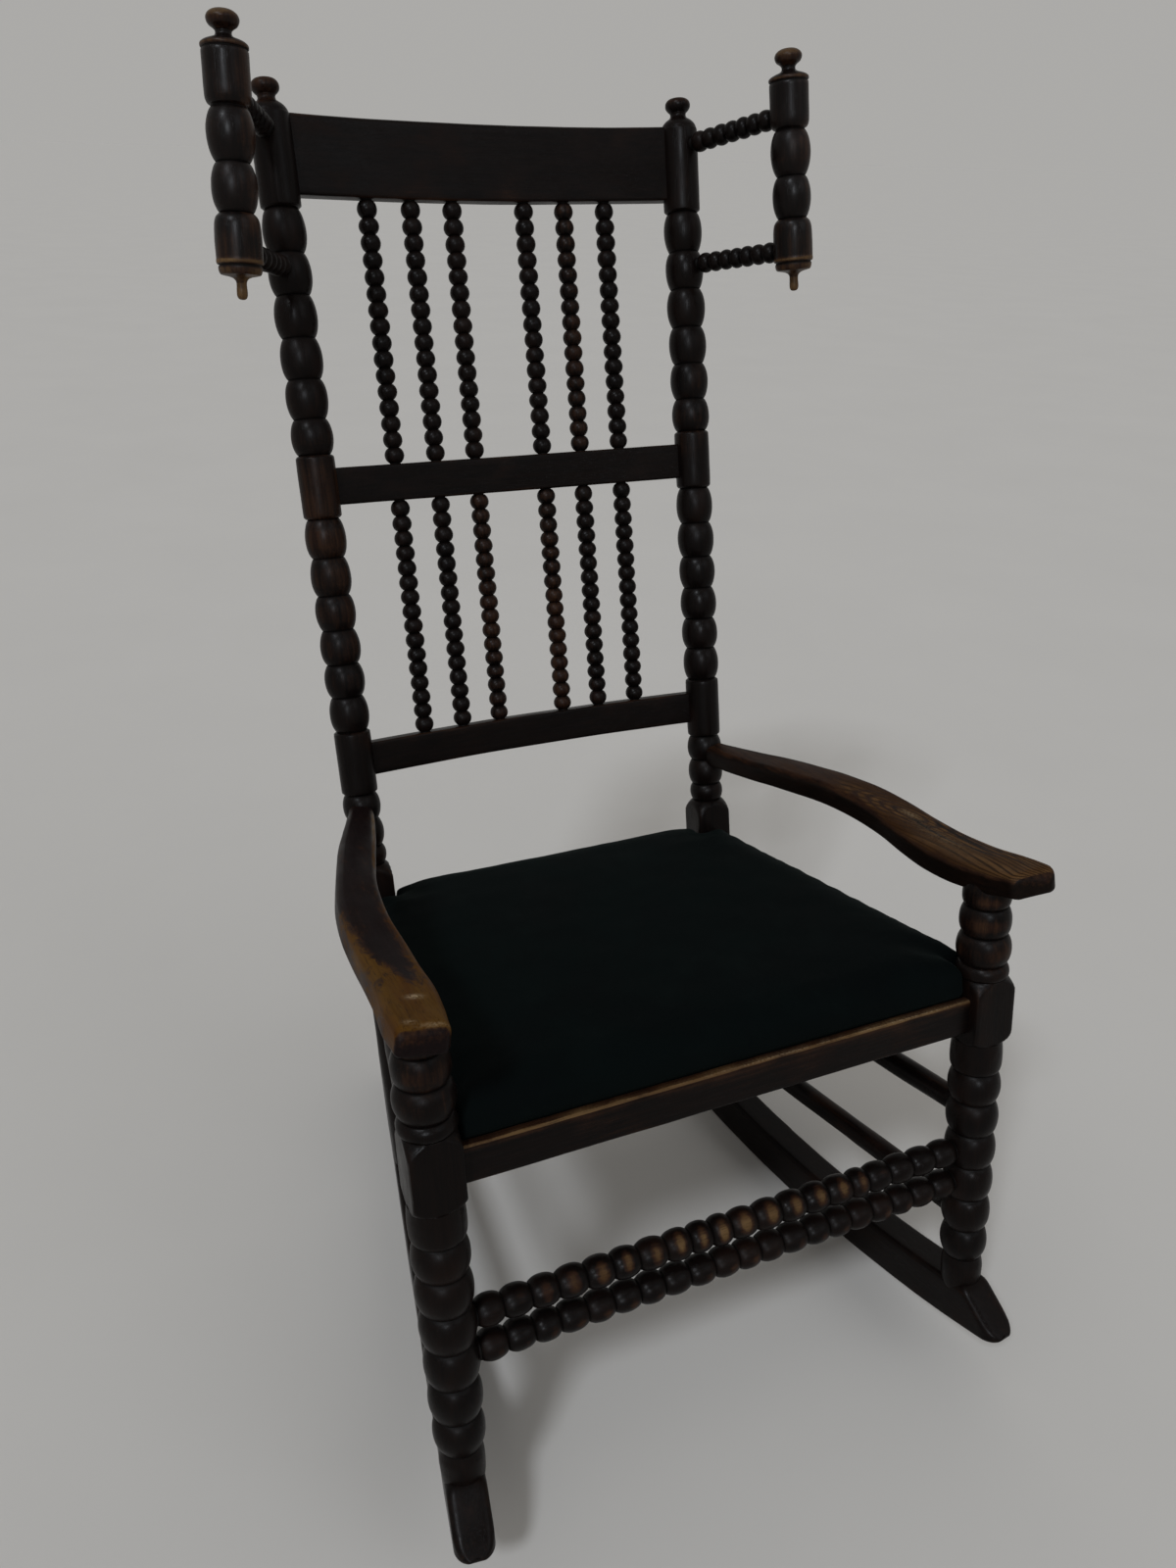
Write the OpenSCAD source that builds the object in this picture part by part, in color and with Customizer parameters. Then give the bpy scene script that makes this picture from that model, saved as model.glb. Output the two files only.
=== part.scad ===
// Bobbin-turned rocking chair with head wings, open arms and a drop-in velvet seat.
// Modelled at rest on its rockers: +Z up, the chair faces -Y, the sitter's right is -X.
// Most pieces are drawn in the chair's own square frame (front legs along Z), and the
// whole chair is then leaned back onto the rockers' resting point. Millimetres.

/* [Stance] */
// lean of the front legs from plumb when the chair stands at rest, degrees
recline = 10.7; // [6:0.1:15]
// lean of the back posts from the front legs, degrees
back_rake = 3.92; // [0:0.01:8]
// outward lean of each back post, degrees
back_splay = 0.35; // [0:0.01:2]
// rise of the seat frame towards the back, degrees
seat_rise = 1.4; // [0:0.1:4]

/* [Frame] */
// half the distance between the front leg axes
leg_x = 260; // [200:1:320]
// half the distance between the back post axes at the collar height
post_x = 202.6; // [150:0.1:260]
// depth from the front leg axis to the back post axis at the collar height
post_y = 405.7; // [300:0.1:500]
// half the width of the square block on a front leg
leg_block = 21.5; // [18:0.5:26]
// half the width of the square block on a back post
post_block = 20; // [16:0.5:24]

/* [Turnings] */
// largest radius of the front leg beads
leg_bead = 24; // [20:0.1:28]
// radius in the grooves between the front leg beads
leg_groove = 20.2; // [16:0.1:24]
// radius of a back post where it is plain
post_r = 18.7; // [14:0.1:22]
// largest radius of the back post bobbins
post_bead = 20; // [15:0.1:24]
// radius in the grooves between the back post bobbins
post_groove = 16.2; // [12:0.1:20]
// largest radius of the back spindle beads
spindle_bead = 9.7; // [7:0.1:12]
// radius in the grooves between the spindle beads
spindle_groove = 6.8; // [4:0.1:8]
// beads on each back spindle
spindle_beads = 16; // [8:1:24]
// largest radius of the front stretcher beads
stretcher_bead = 14; // [10:0.1:18]
// radius in the grooves between the stretcher beads
stretcher_groove = 11.3; // [8:0.1:14]
// beads on each front stretcher
stretcher_beads = 20; // [10:1:26]
// beads on each wing spindle
wing_beads = 7; // [4:1:12]
// radius of the plain side stretchers
dowel_r = 11.5; // [8:0.1:14]

/* [Back] */
// set-back of the slats' middles from their ends
slat_bow = 17; // [0:0.5:30]
// thickness of the crest rail
crest_t = 18; // [12:0.5:24]
// thickness of the middle and lower slats
slat_t = 16; // [12:0.5:22]

/* [Rockers] */
// radius of the rocker's sole
rocker_r = 1200; // [900:10:1600]
// depth of the rocker bar
rocker_h = 46; // [30:1:60]
// thickness of the rocker bar
rocker_t = 35; // [24:1:44]
// where the sole would touch if the front legs stood plumb, measured back from the leg
rocker_s = 114; // [60:0.1:200]
// height of the sole there, below the front leg's collar
rocker_z = -289.5; // [-320:0.5:-260]
// length of the rocker bar in front of the front leg
toe = 60; // [40:1:100]
// fall of the toe's top towards its tip, degrees
toe_fall = 42.5; // [0:0.1:50]
// length of the rocker bar behind the front leg
heel = 600; // [450:5:700]

/* [Arms] */
// inward tilt of the arms' tops, degrees
arm_tilt = 9.6; // [0:0.1:15]

/* [Seat] */
// height of the seat rails
rail_h = 34; // [25:1:50]
// thickness of the seat rails
rail_t = 22; // [16:1:30]
// height of the rails' top edge above the front leg's collar
rail_top = 81; // [70:1:95]
// width of the lip left outside the rebate
lip = 9; // [6:0.5:12]
// depth of the rebate the drop-in seat rests in
rebate = 13; // [8:1:20]
// height of the upholstery's crown above the rails
crown = 33; // [20:1:45]

/* [Hidden] */
$fn = 96;
gap = 0.15;             // glue gap around a tenon
run = 0.5;              // play around the lift-out seat
side_ang = atan((leg_x - px(-250)) / py(-250));   // toe-in of the rockers in plan
rail_ang = atan((leg_x - px(70)) / py(70));       // toe-in of the side seat rails in plan
// height of the chair's frame above the floor with the rockers' soles touching it
floor_up = rocker_r * sqrt(1 - pow(sin(recline) * sin(side_ang), 2)) - (rocker_z + rocker_r) * cos(recline)
       + rocker_s * cos(side_ang) * sin(recline) + rocker_t / 2 * sin(side_ang) * sin(recline);
// shift that puts the middle of the chair's footprint over the origin
shift_y = -269.85;

function px(z) = post_x + z * tan(back_splay);
function py(z) = post_y + z * tan(back_rake);

// heights of the back's features along the posts
crest_z = [799.8, 868.8];
mid_z = [520, 555.8];
low_z = [244, 278.4];
spindle_x = [37.6, 80.3, 124];
post_up = [568.6, 602, 638.2, 675.2, 713, 749.5, 787.4];
post_low = [294.4, 330.2, 364, 398.7, 433.3, 470.3, 508.2];

// wing post axis: a point on it and its direction
wing_p = [263, 337, 805];
wing_d = [-0.058, -0.020, 1];

// ---- placing ----
module chair() { translate([0, shift_y, floor_up]) rotate([-recline, 0, 0]) children(); }
module back() { translate([0, post_y, 0]) rotate([-back_rake, 0, 0]) children(); }
module seat_plane() { translate([0, 0, rail_top]) rotate([seat_rise, 0, 0]) children(); }
module left() { mirror([1, 0, 0]) children(); }
module from_to(p, q) {
    v = q - p; l = norm(v);
    translate(p) rotate([0, acos(v[2] / l), atan2(v[1], v[0])]) children();
}
module wing_axis() {
    l = norm(wing_d);
    translate(wing_p) rotate([0, acos(1 / l), atan2(wing_d[1], wing_d[0])]) translate([0, 0, -805]) children();
}
// a post stands at its x for z = 0 and leans outward; local z runs up the post
module post_axis() { back() translate([post_x, 0, 0]) rotate([0, back_splay, 0]) children(); }

// ---- turned profiles: lists of [radius, height] running upward ----
bead_t = [0.09, 0.27, 0.5, 0.73, 0.91];
bobbin_t = [0.05, 0.15, 0.3, 0.5, 0.7, 0.85, 0.95];
function bulge(t) = pow(1 - pow(abs(2 * t - 1), 2.2), 1 / 2.2);
function bead(z0, z1, rv, rb, ts) = concat([[rv, z0]], [for (t = ts) [rv + (rb - rv) * bulge(t), z0 + (z1 - z0) * t]]);
function beads(zs, rv, rb, ts) = [for (i = [0 : len(zs) - 2]) each bead(zs[i], zs[i + 1], rv, rb, ts)];
function even(z0, z1, n) = [for (i = [0 : n]) z0 + (z1 - z0) * i / n];
module turned(p) {
    rotate_extrude() polygon(concat([[0, p[0][1]]], p, [[0, p[len(p) - 1][1]]]));
}

// ---- rocker blank in the side plane: x is along the rocker, y is up ----
module rocker_profile() {
    c = [rocker_s, rocker_z + rocker_r];
    rm = rocker_r - rocker_h / 2;
    a0 = asin((toe - rocker_h / 2 + rocker_s) / rm);
    a1 = asin((heel - rocker_h / 2 - rocker_s) / rm);
    difference() {
        translate(c) {
            intersection() {
                difference() { circle(rocker_r); circle(rocker_r - rocker_h); }
                polygon([[0, 0], [-1500 * sin(a0), -1500 * cos(a0)], [0, -1600], [1500 * sin(a1), -1500 * cos(a1)]]);
            }
            translate([-rm * sin(a0), -rm * cos(a0)]) circle(rocker_h / 2);
            translate([rm * sin(a1), -rm * cos(a1)]) circle(rocker_h / 2);
        }
        // the toe slopes down from the foot of the leg to a low rounded tip
        translate([-14, -232.5]) rotate(toe_fall) translate([-150, 0]) square([150, 100]);
    }
}
// stands the profile in the right-hand side plane, through both leg feet
module side_plane() { translate([leg_x, 0, 0]) rotate([0, 0, 90 + side_ang]) rotate([90, 0, 0]) children(); }
// plan of the bar, with its two ends rounded
module rocker_plan() {
    w = rocker_t / 2; c = 12;
    translate([-toe + c, -w]) square([toe + heel - 2 * c, rocker_t]);
    translate([-toe, -w + c]) square([toe + heel, rocker_t - 2 * c]);
    for (x = [-toe + c, heel - c], y = [-w + c, w - c]) translate([x, y]) circle(c);
}
module rocker_blank() {
    side_plane() intersection() {
        translate([0, 0, -rocker_t / 2]) linear_extrude(rocker_t) rocker_profile();
        translate([0, -100, 0]) rotate([90, 0, 0]) linear_extrude(300) rocker_plan();
    }
}

// the leg's shoulder stands on the top of the bar, cut right across
module rocker_top_cut() { side_plane() translate([0, 0, -35]) linear_extrude(70) rocker_profile(); }
module front_foot_tenon(g = 0) { translate([leg_x, 0, -268]) cylinder(r = 11 + g, h = 40); }
module rear_foot_tenon(g = 0) { post_axis() translate([0, 0, -248]) cylinder(r = 10 + g, h = 52); }
module rocker_right() {
    difference() { rocker_blank(); front_foot_tenon(gap); rear_foot_tenon(gap); }
}

// ---- front leg ----
leg_cuts = [-209.7, -175.9, -139.6, -103.1, -67.3, -32.6, 0];
leg_thin = [1.9, 1.2, 0.7, 0.3, 0, 0];    // the beads grow smaller towards the foot
function leg_low() = concat(
    [[17, -256], [18, -244], [19.4, -232], [19.5, -222], [17.9, -213]],
    [for (i = [0 : 5]) each bead(leg_cuts[i], leg_cuts[i + 1], leg_groove - leg_thin[i], leg_bead - leg_thin[i], bobbin_t)],
    [[leg_groove, 0], [22.6, 3], [23.4, 9], [23.6, 20], [23.2, 29], [22.2, 33.5]]);
function leg_up() = concat(
    [[22.2, 97], [23, 99], [23.2, 106], [22.4, 110], [21.4, 111.4]],
    bead(111.4, 139.6, 21.4, 24.2, bobbin_t), bead(139.6, 167, 20.6, 22.8, bobbin_t),
    [[18.6, 167], [20, 171], [20.6, 177], [20.2, 184], [19.6, 196]]);
module front_leg_solid() {
    translate([leg_x, 0, 0]) {
        turned(leg_low());
        intersection() {
            translate([-leg_block, -leg_block, 33.4]) cube([2 * leg_block, 2 * leg_block, 63.7]);
            turned([[24, 33], [27.6, 37], [27.6, 88], [25.5, 94], [23, 97.4]]);
        }
        turned(leg_up());
    }
}
module arm_tenon(g = 0) { translate([leg_x, 0, 176]) cylinder(r = 10 + g, h = 26 + g); }
// the shoulder is trimmed to the slope of the arm's underside
module leg_top_cut() { translate([leg_x, 0, 185.48]) rotate([-3.5, -arm_tilt, 0]) translate([-40, -40, 0]) cube([80, 80, 40]); }
module front_leg_right() {
    difference() {
        union() {
            difference() { front_leg_solid(); rocker_top_cut(); leg_top_cut(); }
            front_foot_tenon();
            arm_tenon();
        }
        front_stretcher_tenons(gap);
        side_dowel_shape(0, gap); side_dowel_shape(1, gap);
        front_rail_tenon(gap);
        side_rail_tenons(gap);
    }
}

// ---- back post with its finial ----
function post_profile() = concat(
    [[14.5, -240], [16, -200], [17.6, -120], [17.8, 20], [17, 36], [16.6, 44]],
    [[16.6, 146], [17.4, 149.2], [18.4, 153], [18.9, 160], [18.2, 166]],
    bead(169.2, 198.7, 16.4, 19.6, bobbin_t), bead(198.7, 227, 16.2, 19.4, bobbin_t),
    [[16.6, 227], [18, 229.5], [post_r, 234], [post_r, 288], [17.6, 292.5]],
    beads(post_low, post_groove, post_bead, bobbin_t),
    [[post_groove, 508.2], [17.6, 510], [post_r, 514], [post_r, 563], [17.6, 567]],
    beads(post_up, post_groove, post_bead, bobbin_t),
    [[post_groove, 787.4], [17.6, 789.2], [post_r, 793], [post_r, 864], [17.6, 868.4], [15.4, 872], [11.6, 875.4], [8.8, 877.2],
     [7.8, 879.4], [8.4, 881.8], [10.8, 884.4], [12.4, 887.4], [12.6, 889.6], [11.8, 892.4], [9.2, 894.6], [4.6, 895.6]]);
module back_post_solid() {
    post_axis() {
        turned(post_profile());
        intersection() {
            translate([-post_block, -post_block, 38]) cube([2 * post_block, 2 * post_block, 112]);
            turned([[17, 37.5], [25.6, 44], [25.6, 136], [24.2, 142], [21.4, 147], [17.4, 150.5]]);
        }
    }
}
module back_post_right() {
    difference() {
        union() {
            difference() { back_post_solid(); rocker_blank(); }
            rear_foot_tenon();
        }
        slat_tenon(crest_z, crest_t, gap); slat_tenon(mid_z, slat_t, gap); slat_tenon(low_z, slat_t, gap);
        wing_spindle_tenons(gap);
        side_dowel_shape(0, gap); side_dowel_shape(1, gap);
        rear_stretcher_tenon(gap);
        side_rail_tenons(gap); rear_rail_tenon(gap);
        arm_end_tenon(gap);
    }
}

// ---- slats: bowed boards between the posts, in the back's own plane ----
function half_w(z) = post_x + z * tan(back_splay);
slat_R = (205 * 205 + slat_bow * slat_bow) / (2 * slat_bow);
function bow_y(x) = 3 + slat_bow - (slat_R - sqrt(slat_R * slat_R - x * x));
module slat_plan(t) {
    intersection() {
        translate([-210, -30]) square([420, 90]);
        translate([0, 3 + slat_bow - slat_R]) difference() { circle(slat_R + t / 2, $fn = 360); circle(slat_R - t / 2, $fn = 360); }
    }
}
// the tenon on a slat's right end, which sits in the post
module slat_tenon(z, t, g = 0) {
    back() translate([half_w(z[0]) - 19, 3 - 4.5 - g, z[0] + 4 - g]) cube([22 + g, 9 + 2 * g, z[1] - z[0] - 8 + 2 * g]);
}
module slat(z, t) {
    difference() {
        union() {
            difference() {
                back() translate([0, 0, z[0]]) linear_extrude(z[1] - z[0]) slat_plan(t);
                post_core(); left() post_core();
            }
            slat_tenon(z, t); left() slat_tenon(z, t);
        }
        if (z[0] > 700) spindle_tenons(0, gap);
        if (z[0] > 400 && z[0] < 700) { spindle_tenons(0, gap); spindle_tenons(1, gap); }
        if (z[0] < 400) spindle_tenons(1, gap);
    }
}
// the plain post's surface, which the slat's shoulder is scribed to, and all beyond it
module post_core() {
    post_axis() translate([0, 0, 200]) { cylinder(r = post_r + 0.05, h = 690); translate([0, -60, 0]) cube([80, 120, 690]); }
}
module crest_rail() { slat(crest_z, crest_t); }
module middle_slat() { slat(mid_z, slat_t); }
module lower_slat() { slat(low_z, slat_t); }

// ---- back spindles ----
// row 0 runs from the middle slat to the crest rail, row 1 from the lower slat to the middle slat
row_z = [[mid_z[1], crest_z[0]], [low_z[1], mid_z[0]]];
module spindle_at(row, x) { back() translate([x, bow_y(x), 0]) children(); }
module spindle_tenons(row, g) {
    for (s = [-1, 1], x = spindle_x) spindle_at(row, s * x) {
        translate([0, 0, row_z[row][0] - 12 - g]) cylinder(r = 5 + g, h = 13 + g);
        translate([0, 0, row_z[row][1] - 1]) cylinder(r = 5 + g, h = 13 + g);
    }
}
function spindle_profile(z0, z1) = concat(
    [[5, z0 - 12], [5, z0], [spindle_groove, z0]],
    beads(even(z0 + 0.6, z1 - 0.6, spindle_beads), spindle_groove, spindle_bead, bead_t),
    [[spindle_groove, z1 - 0.6], [spindle_groove, z1], [5, z1], [5, z1 + 12]]);
module spindle(row, x) { spindle_at(row, x) turned(spindle_profile(row_z[row][0], row_z[row][1])); }

// ---- wings ----
function wing_profile() = concat(
    [[3, 699.6], [4.2, 702], [4.4, 709], [4.6, 714], [7, 716.6], [13.6, 718.4], [17.2, 720.6], [17.8, 724],
     [17.6, 726], [18.9, 727.4], [19.2, 730], [19.2, 755], [17.8, 762]],
    bead(765, 802, 14.4, 18.7, bobbin_t), bead(802, 842, 14.4, 19.1, bobbin_t),
    [[14.6, 842], [17, 844.4], [18.4, 848], [18.7, 856], [18.7, 880.4], [18.3, 882.2], [18.8, 883], [18.2, 885.4], [15, 888], [9, 889.6],
     [6.6, 891.4], [6.3, 893.6], [7.4, 896], [10.8, 898.4], [12.8, 901.4], [12.7, 904.2], [10.6, 907], [6.4, 908.8], [2.6, 909.3]]);
module wing_post_right() {
    difference() { wing_axis() turned(wing_profile()); wing_spindle_tenons(gap); }
}
// ends of the wing spindles, on the post's axis and on the wing post's axis
function on_post(z) = [px(z), py(z), z];
function on_wing(z) = wing_p + (z - wing_p[2]) * wing_d;
wing_ends = [[on_post(848), on_wing(855.5)], [on_post(735), on_wing(737.5)]];
module wing_spindle_tenons(g) {
    for (e = wing_ends) from_to(e[0], e[1]) {
        translate([0, 0, 6 - g]) cylinder(r = 6 + g, h = 16 + g);
        translate([0, 0, norm(e[1] - e[0]) - 22]) cylinder(r = 6 + g, h = 16 + g);
    }
}
module wing_spindle(k) {
    e = wing_ends[k]; l = norm(e[1] - e[0]);
    from_to(e[0], e[1]) turned(concat([[6, 6], [6, 20.3], [7, 20.3]],
        beads(even(20.8, l - 20.1, wing_beads), 7.4, 9.7, bead_t),
        [[7.4, l - 20.1], [7, l - 19.6], [6, l - 19.6], [6, l - 6]]));
}

// ---- arms: an S-curved plan cut to a waved top ----
arm_y = [-48, -20, 20, 60, 100, 140, 180, 220, 260, 300, 340, 380, 406];
arm_c = [267.2, 265.5, 262.2, 262.2, 263, 263.7, 261, 254.2, 245, 235.6, 225.1, 215, 209];
arm_w = [40.5, 45, 45.5, 43.6, 42.6, 40, 38.4, 36.1, 36, 35.6, 33, 29, 25];
arm_t = [213, 211, 208.8, 208.4, 210.8, 215, 219, 221, 221, 219.6, 218, 217.2, 217];
arm_b = [191.5, 188, 185, 184, 185.5, 189.5, 193.9, 196.6, 197.4, 197, 196.2, 195.6, 195.4];
function cr(a, i, t) = let(n = len(a) - 1, p0 = a[max(i - 1, 0)], p1 = a[i], p2 = a[min(i + 1, n)], p3 = a[min(i + 2, n)])
    0.5 * (2 * p1 + (p2 - p0) * t + (2 * p0 - 5 * p1 + 4 * p2 - p3) * t * t + (3 * p1 - p0 - 3 * p2 + p3) * t * t * t);
function smooth(a, k) = [for (i = [0 : len(a) - 2], j = [0 : k - 1]) cr(a, i, j / k), a[len(a) - 1]];
function rev(a) = [for (i = [len(a) - 1 : -1 : 0]) a[i]];
ay = smooth(arm_y, 3);
aw = smooth(arm_w, 3);
// the blank is drawn level and then tilted about the line arm_p, so its middle line is set back by that tilt first
arm_p = [262, 203];
arm_dc = [for (v = smooth(arm_c, 3)) v - arm_p[0]];
arm_tb = [for (i = [0 : len(ay) - 1]) [smooth(arm_t, 3)[i], smooth(arm_b, 3)[i]]];
arm_dh = [for (v = arm_tb) (v[0] + v[1]) / 2 - arm_p[1]];
ac = [for (i = [0 : len(ay) - 1]) arm_p[0] + arm_dc[i] * cos(arm_tilt) + arm_dh[i] * sin(arm_tilt)];
ah = [for (i = [0 : len(ay) - 1]) arm_p[1] - arm_dc[i] * sin(arm_tilt) + arm_dh[i] * cos(arm_tilt)];
at = [for (i = [0 : len(ay) - 1]) ah[i] + (arm_tb[i][0] - arm_tb[i][1]) / 2];
ab = [for (i = [0 : len(ay) - 1]) ah[i] - (arm_tb[i][0] - arm_tb[i][1]) / 2];
module arm_blank() {
    n = len(ay) - 1;
    translate([arm_p[0], 0, arm_p[1]]) rotate([0, -arm_tilt, 0]) translate([-arm_p[0], 0, -arm_p[1]]) intersection() {
        translate([0, 0, 150]) linear_extrude(100) polygon(concat(
            [[ac[0] - aw[0] / 2 + 5, -55], [ac[0] + aw[0] / 2 - 7, -55]],
            [for (i = [0 : n]) [ac[i] + aw[i] / 2, ay[i]]],
            rev([for (i = [0 : n]) [ac[i] - aw[i] / 2, ay[i] - (i == 0 ? 2 : 0)]])));
        translate([180, 0, 0]) rotate([90, 0, 90]) linear_extrude(140) polygon(concat(
            [[-55.5, ab[0] + 3], [-55.5, at[0] - 7], [-53, at[0] - 2.6]],
            [for (i = [0 : n]) [ay[i], at[i]]],
            rev([for (i = [0 : n]) [ay[i] - (i == 0 ? 4 : 0), ab[i]]])));
    }
}
module arm_end_tenon(g = 0) {
    from_to([px(206), py(206), 206], [218, 375, 206]) translate([0, 0, 7 - g]) cylinder(r = 7 + g, h = 22 + g);
}
module arm_right() {
    difference() {
        union() {
            difference() {
                arm_blank();
                post_axis() translate([0, 0, 150]) { cylinder(r = post_bead + 0.3, h = 120); translate([-50, 0, 0]) cube([100, 60, 120]); }
            }
            arm_end_tenon();
        }
        arm_tenon(gap);
    }
}

// ---- seat rails, in the seat's own plane (z = 0 is their top edge) ----
module front_rail_bar(g = 0) { translate([-leg_x, -12, -rail_h]) cube([2 * leg_x, rail_t, rail_h]); }
module front_rail_tenon(g = 0) {
    seat_plane() for (s = [0, 1]) mirror([s, 0, 0]) translate([leg_x - leg_block - 1, -5 - g, -rail_h + 4 - g]) cube([13 + g, 9 + 2 * g, rail_h - 8 + 2 * g]);
}
module leg_block_cut(g = 0) { translate([leg_x - leg_block - g, -leg_block - g, 0]) cube([2 * leg_block + 2 * g, 2 * leg_block + 2 * g, 140]); }
module post_block_cut(g = 0) { post_axis() translate([-post_block - g, -post_block - g, 0]) cube([2 * post_block + 2 * g, 2 * post_block + 2 * g, 180]); }
module front_seat_rail() {
    difference() {
        seat_plane() difference() {
            front_rail_bar();
            translate([-leg_x, -12 + lip, -rebate]) cube([2 * leg_x, rail_t, rebate + 1]);
        }
        leg_block_cut(0.05); left() leg_block_cut(0.05);
        translate([leg_x, -40, 0]) cube([60, 80, 140]); left() translate([leg_x, -40, 0]) cube([60, 80, 140]);
    }
    front_rail_tenon();
}
rear_y = py(78);
module rear_rail_tenon(g = 0) {
    seat_plane() for (s = [0, 1]) mirror([s, 0, 0]) translate([px(78) - post_block - 1, rear_y - 4.5 - g, -rail_h + 4 - g]) cube([12 + g, 9 + 2 * g, rail_h - 8 + 2 * g]);
}
module rear_seat_rail() {
    difference() {
        seat_plane() difference() {
            translate([-px(78), rear_y - 11, -rail_h]) cube([2 * px(78), rail_t, rail_h]);
            translate([-leg_x, rear_y - 12, -rebate]) cube([2 * leg_x, 12 + 11 - lip, rebate + 1]);
        }
        post_block_cut(0.05); left() post_block_cut(0.05);
    }
    rear_rail_tenon();
}
// right side rail: its own x runs from the front leg to the back post
module side_line() { translate([leg_x, 0, 0]) rotate([0, 0, 90 + rail_ang]) children(); }
side_len = norm([leg_x - px(70), py(70)]);
module side_rail_tenons(g = 0) {
    seat_plane() side_line() {
        translate([15, -4 - g, -rail_h + 6 - g]) cube([12, 8 + 2 * g, rail_h - rebate - 7 + 2 * g]);
        translate([side_len - 26, -4 - g, -rail_h + 6 - g]) cube([12 + g, 8 + 2 * g, rail_h - rebate - 7 + 2 * g]);
    }
}
module side_seat_rail_right() {
    difference() {
        seat_plane() side_line() difference() {
            translate([0, -11, -rail_h]) cube([side_len, rail_t, rail_h]);
            translate([-5, -11 + lip, -rebate]) cube([side_len + 10, rail_t, rebate + 1]);
        }
        leg_block_cut(0.05);
        post_block_cut(0.05);
        translate([leg_x - 30, -40, 0]) cube([60, 40, 140]);
    }
    side_rail_tenons();
}

// ---- stretchers ----
fs_z = [-120.3, -85.4];
module front_stretcher_tenons(g = 0) {
    for (z = fs_z) translate([leg_x - 31, 0, z]) rotate([0, 90, 0]) cylinder(r = 11 + g, h = 18 + g);
}
module front_stretcher(k) {
    l = leg_x - 24.5;
    translate([0, 0, fs_z[k]]) rotate([0, 90, 0]) turned(concat([[11, -leg_x + 13.5]],
        [[11, -l - 0.6], [stretcher_groove, -l - 0.2]],
        beads(even(-l, l, stretcher_beads), stretcher_groove, stretcher_bead, bead_t),
        [[stretcher_groove, l + 0.2], [11, l + 0.6], [11, leg_x - 13.5]]));
}
// side stretcher end points on the leg and post axes; 0 is the upper, 1 the lower
dowel_ends = [[[leg_x, 0, -48], [px(-43), py(-43), -43]], [[leg_x, 0, -164], [px(-151), py(-151), -151]]];
module side_dowel_shape(k, g = 0) {
    e = dowel_ends[k]; l = norm(e[1] - e[0]);
    from_to(e[0], e[1]) {
        translate([0, 0, 9 - g]) cylinder(r = 8.5 + g, h = 20);
        translate([0, 0, l - 26]) cylinder(r = 8.5 + g, h = 18 + g);
        translate([0, 0, 19.5]) cylinder(r = dowel_r + g, h = l - 19.5 - 14.5);
    }
}
module side_stretcher(k) {
    e = dowel_ends[k]; l = norm(e[1] - e[0]);
    from_to(e[0], e[1]) turned([[8.5, 9], [8.5, 19.6], [dowel_r, 19.6], [dowel_r, l - 14.6], [8.5, l - 14.6], [8.5, l - 8]]);
}
rs_z = -100;
module rear_stretcher_tenon(g = 0) {
    translate([px(rs_z) - 24, py(rs_z), rs_z]) rotate([0, 90, 0]) cylinder(r = 8.5 + g, h = 16 + g);
}
module rear_stretcher() {
    w = px(rs_z);
    translate([0, py(rs_z), rs_z]) rotate([0, 90, 0]) turned([[8.5, -w + 8], [8.5, -w + 18.2], [10.5, -w + 18.2], [dowel_r, -w + 60],
        [dowel_r, w - 60], [10.5, w - 18.2], [8.5, w - 18.2], [8.5, w - 8]]);
}

// ---- drop-in seat ----
// outline at an inset, in the seat's own plane, notched round the leg and post blocks
function edge_x(y, i) = leg_x - y * tan(rail_ang) + (rail_t / 2 - lip - run - i) / cos(rail_ang);
fy = -12 + lip + run;
by = rear_y + rail_t / 2 - lip - run;
nfx = leg_x - leg_block - 3.6;
nfy = leg_block + 5.8;
nbx = px(78) - post_block - 1.8;
nby = rear_y - post_block - 3.4;
function seat_half(i) = [[0, fy + i], [nfx - i, fy + i], [nfx - i, nfy + i], [edge_x(nfy + i, i), nfy + i],
    [edge_x(nby - i, i), nby - i], [nbx - i, nby - i], [nbx - i, by - i], [0, by - i]];
function seat_outline(i) = concat(seat_half(i), rev([for (p = [for (k = [1 : 6]) seat_half(i)[k]]) [-p[0], p[1]]]));
module slab(i, z0, z1) { translate([0, 0, z0]) linear_extrude(z1 - z0) polygon(seat_outline(i)); }
base_z = -rebate + 0.4;
frame_top = base_z + 16;
// the pad's wooden frame: front and rear rails, with the side rails tenoned between them
fr_y = [52, 352];       // where the side rails meet the front and rear rails
fr_in = [184, 140];     // half the opening's width there
module pad_frame_tenon(g = 0) {
    for (k = [0, 1]) translate([fr_in[k] + 10 - g, fr_y[k] - 16 - g, base_z + 4 - g]) cube([26 + 2 * g, 32 + 2 * g, 8 + 2 * g]);
}
module pad_frame_front() {
    difference() {
        intersection() { slab(1.8, base_z, frame_top); translate([-300, -50, -50]) cube([600, 50 + fr_y[0], 100]); }
        pad_frame_tenon(gap); left() pad_frame_tenon(gap);
    }
}
module pad_frame_rear() {
    difference() {
        intersection() { slab(1.8, base_z, frame_top); translate([-300, fr_y[1], -50]) cube([600, 200, 100]); }
        pad_frame_tenon(gap); left() pad_frame_tenon(gap);
    }
}
module pad_frame_right() {
    intersection() {
        slab(1.8, base_z, frame_top);
        translate([0, 0, -50]) linear_extrude(100) polygon([[fr_in[0], fr_y[0] + 0.1], [300, fr_y[0] + 0.1], [300, fr_y[1] - 0.1], [fr_in[1], fr_y[1] - 0.1]]);
    }
    intersection() { slab(3, base_z, frame_top); pad_frame_tenon(); }
}
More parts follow.
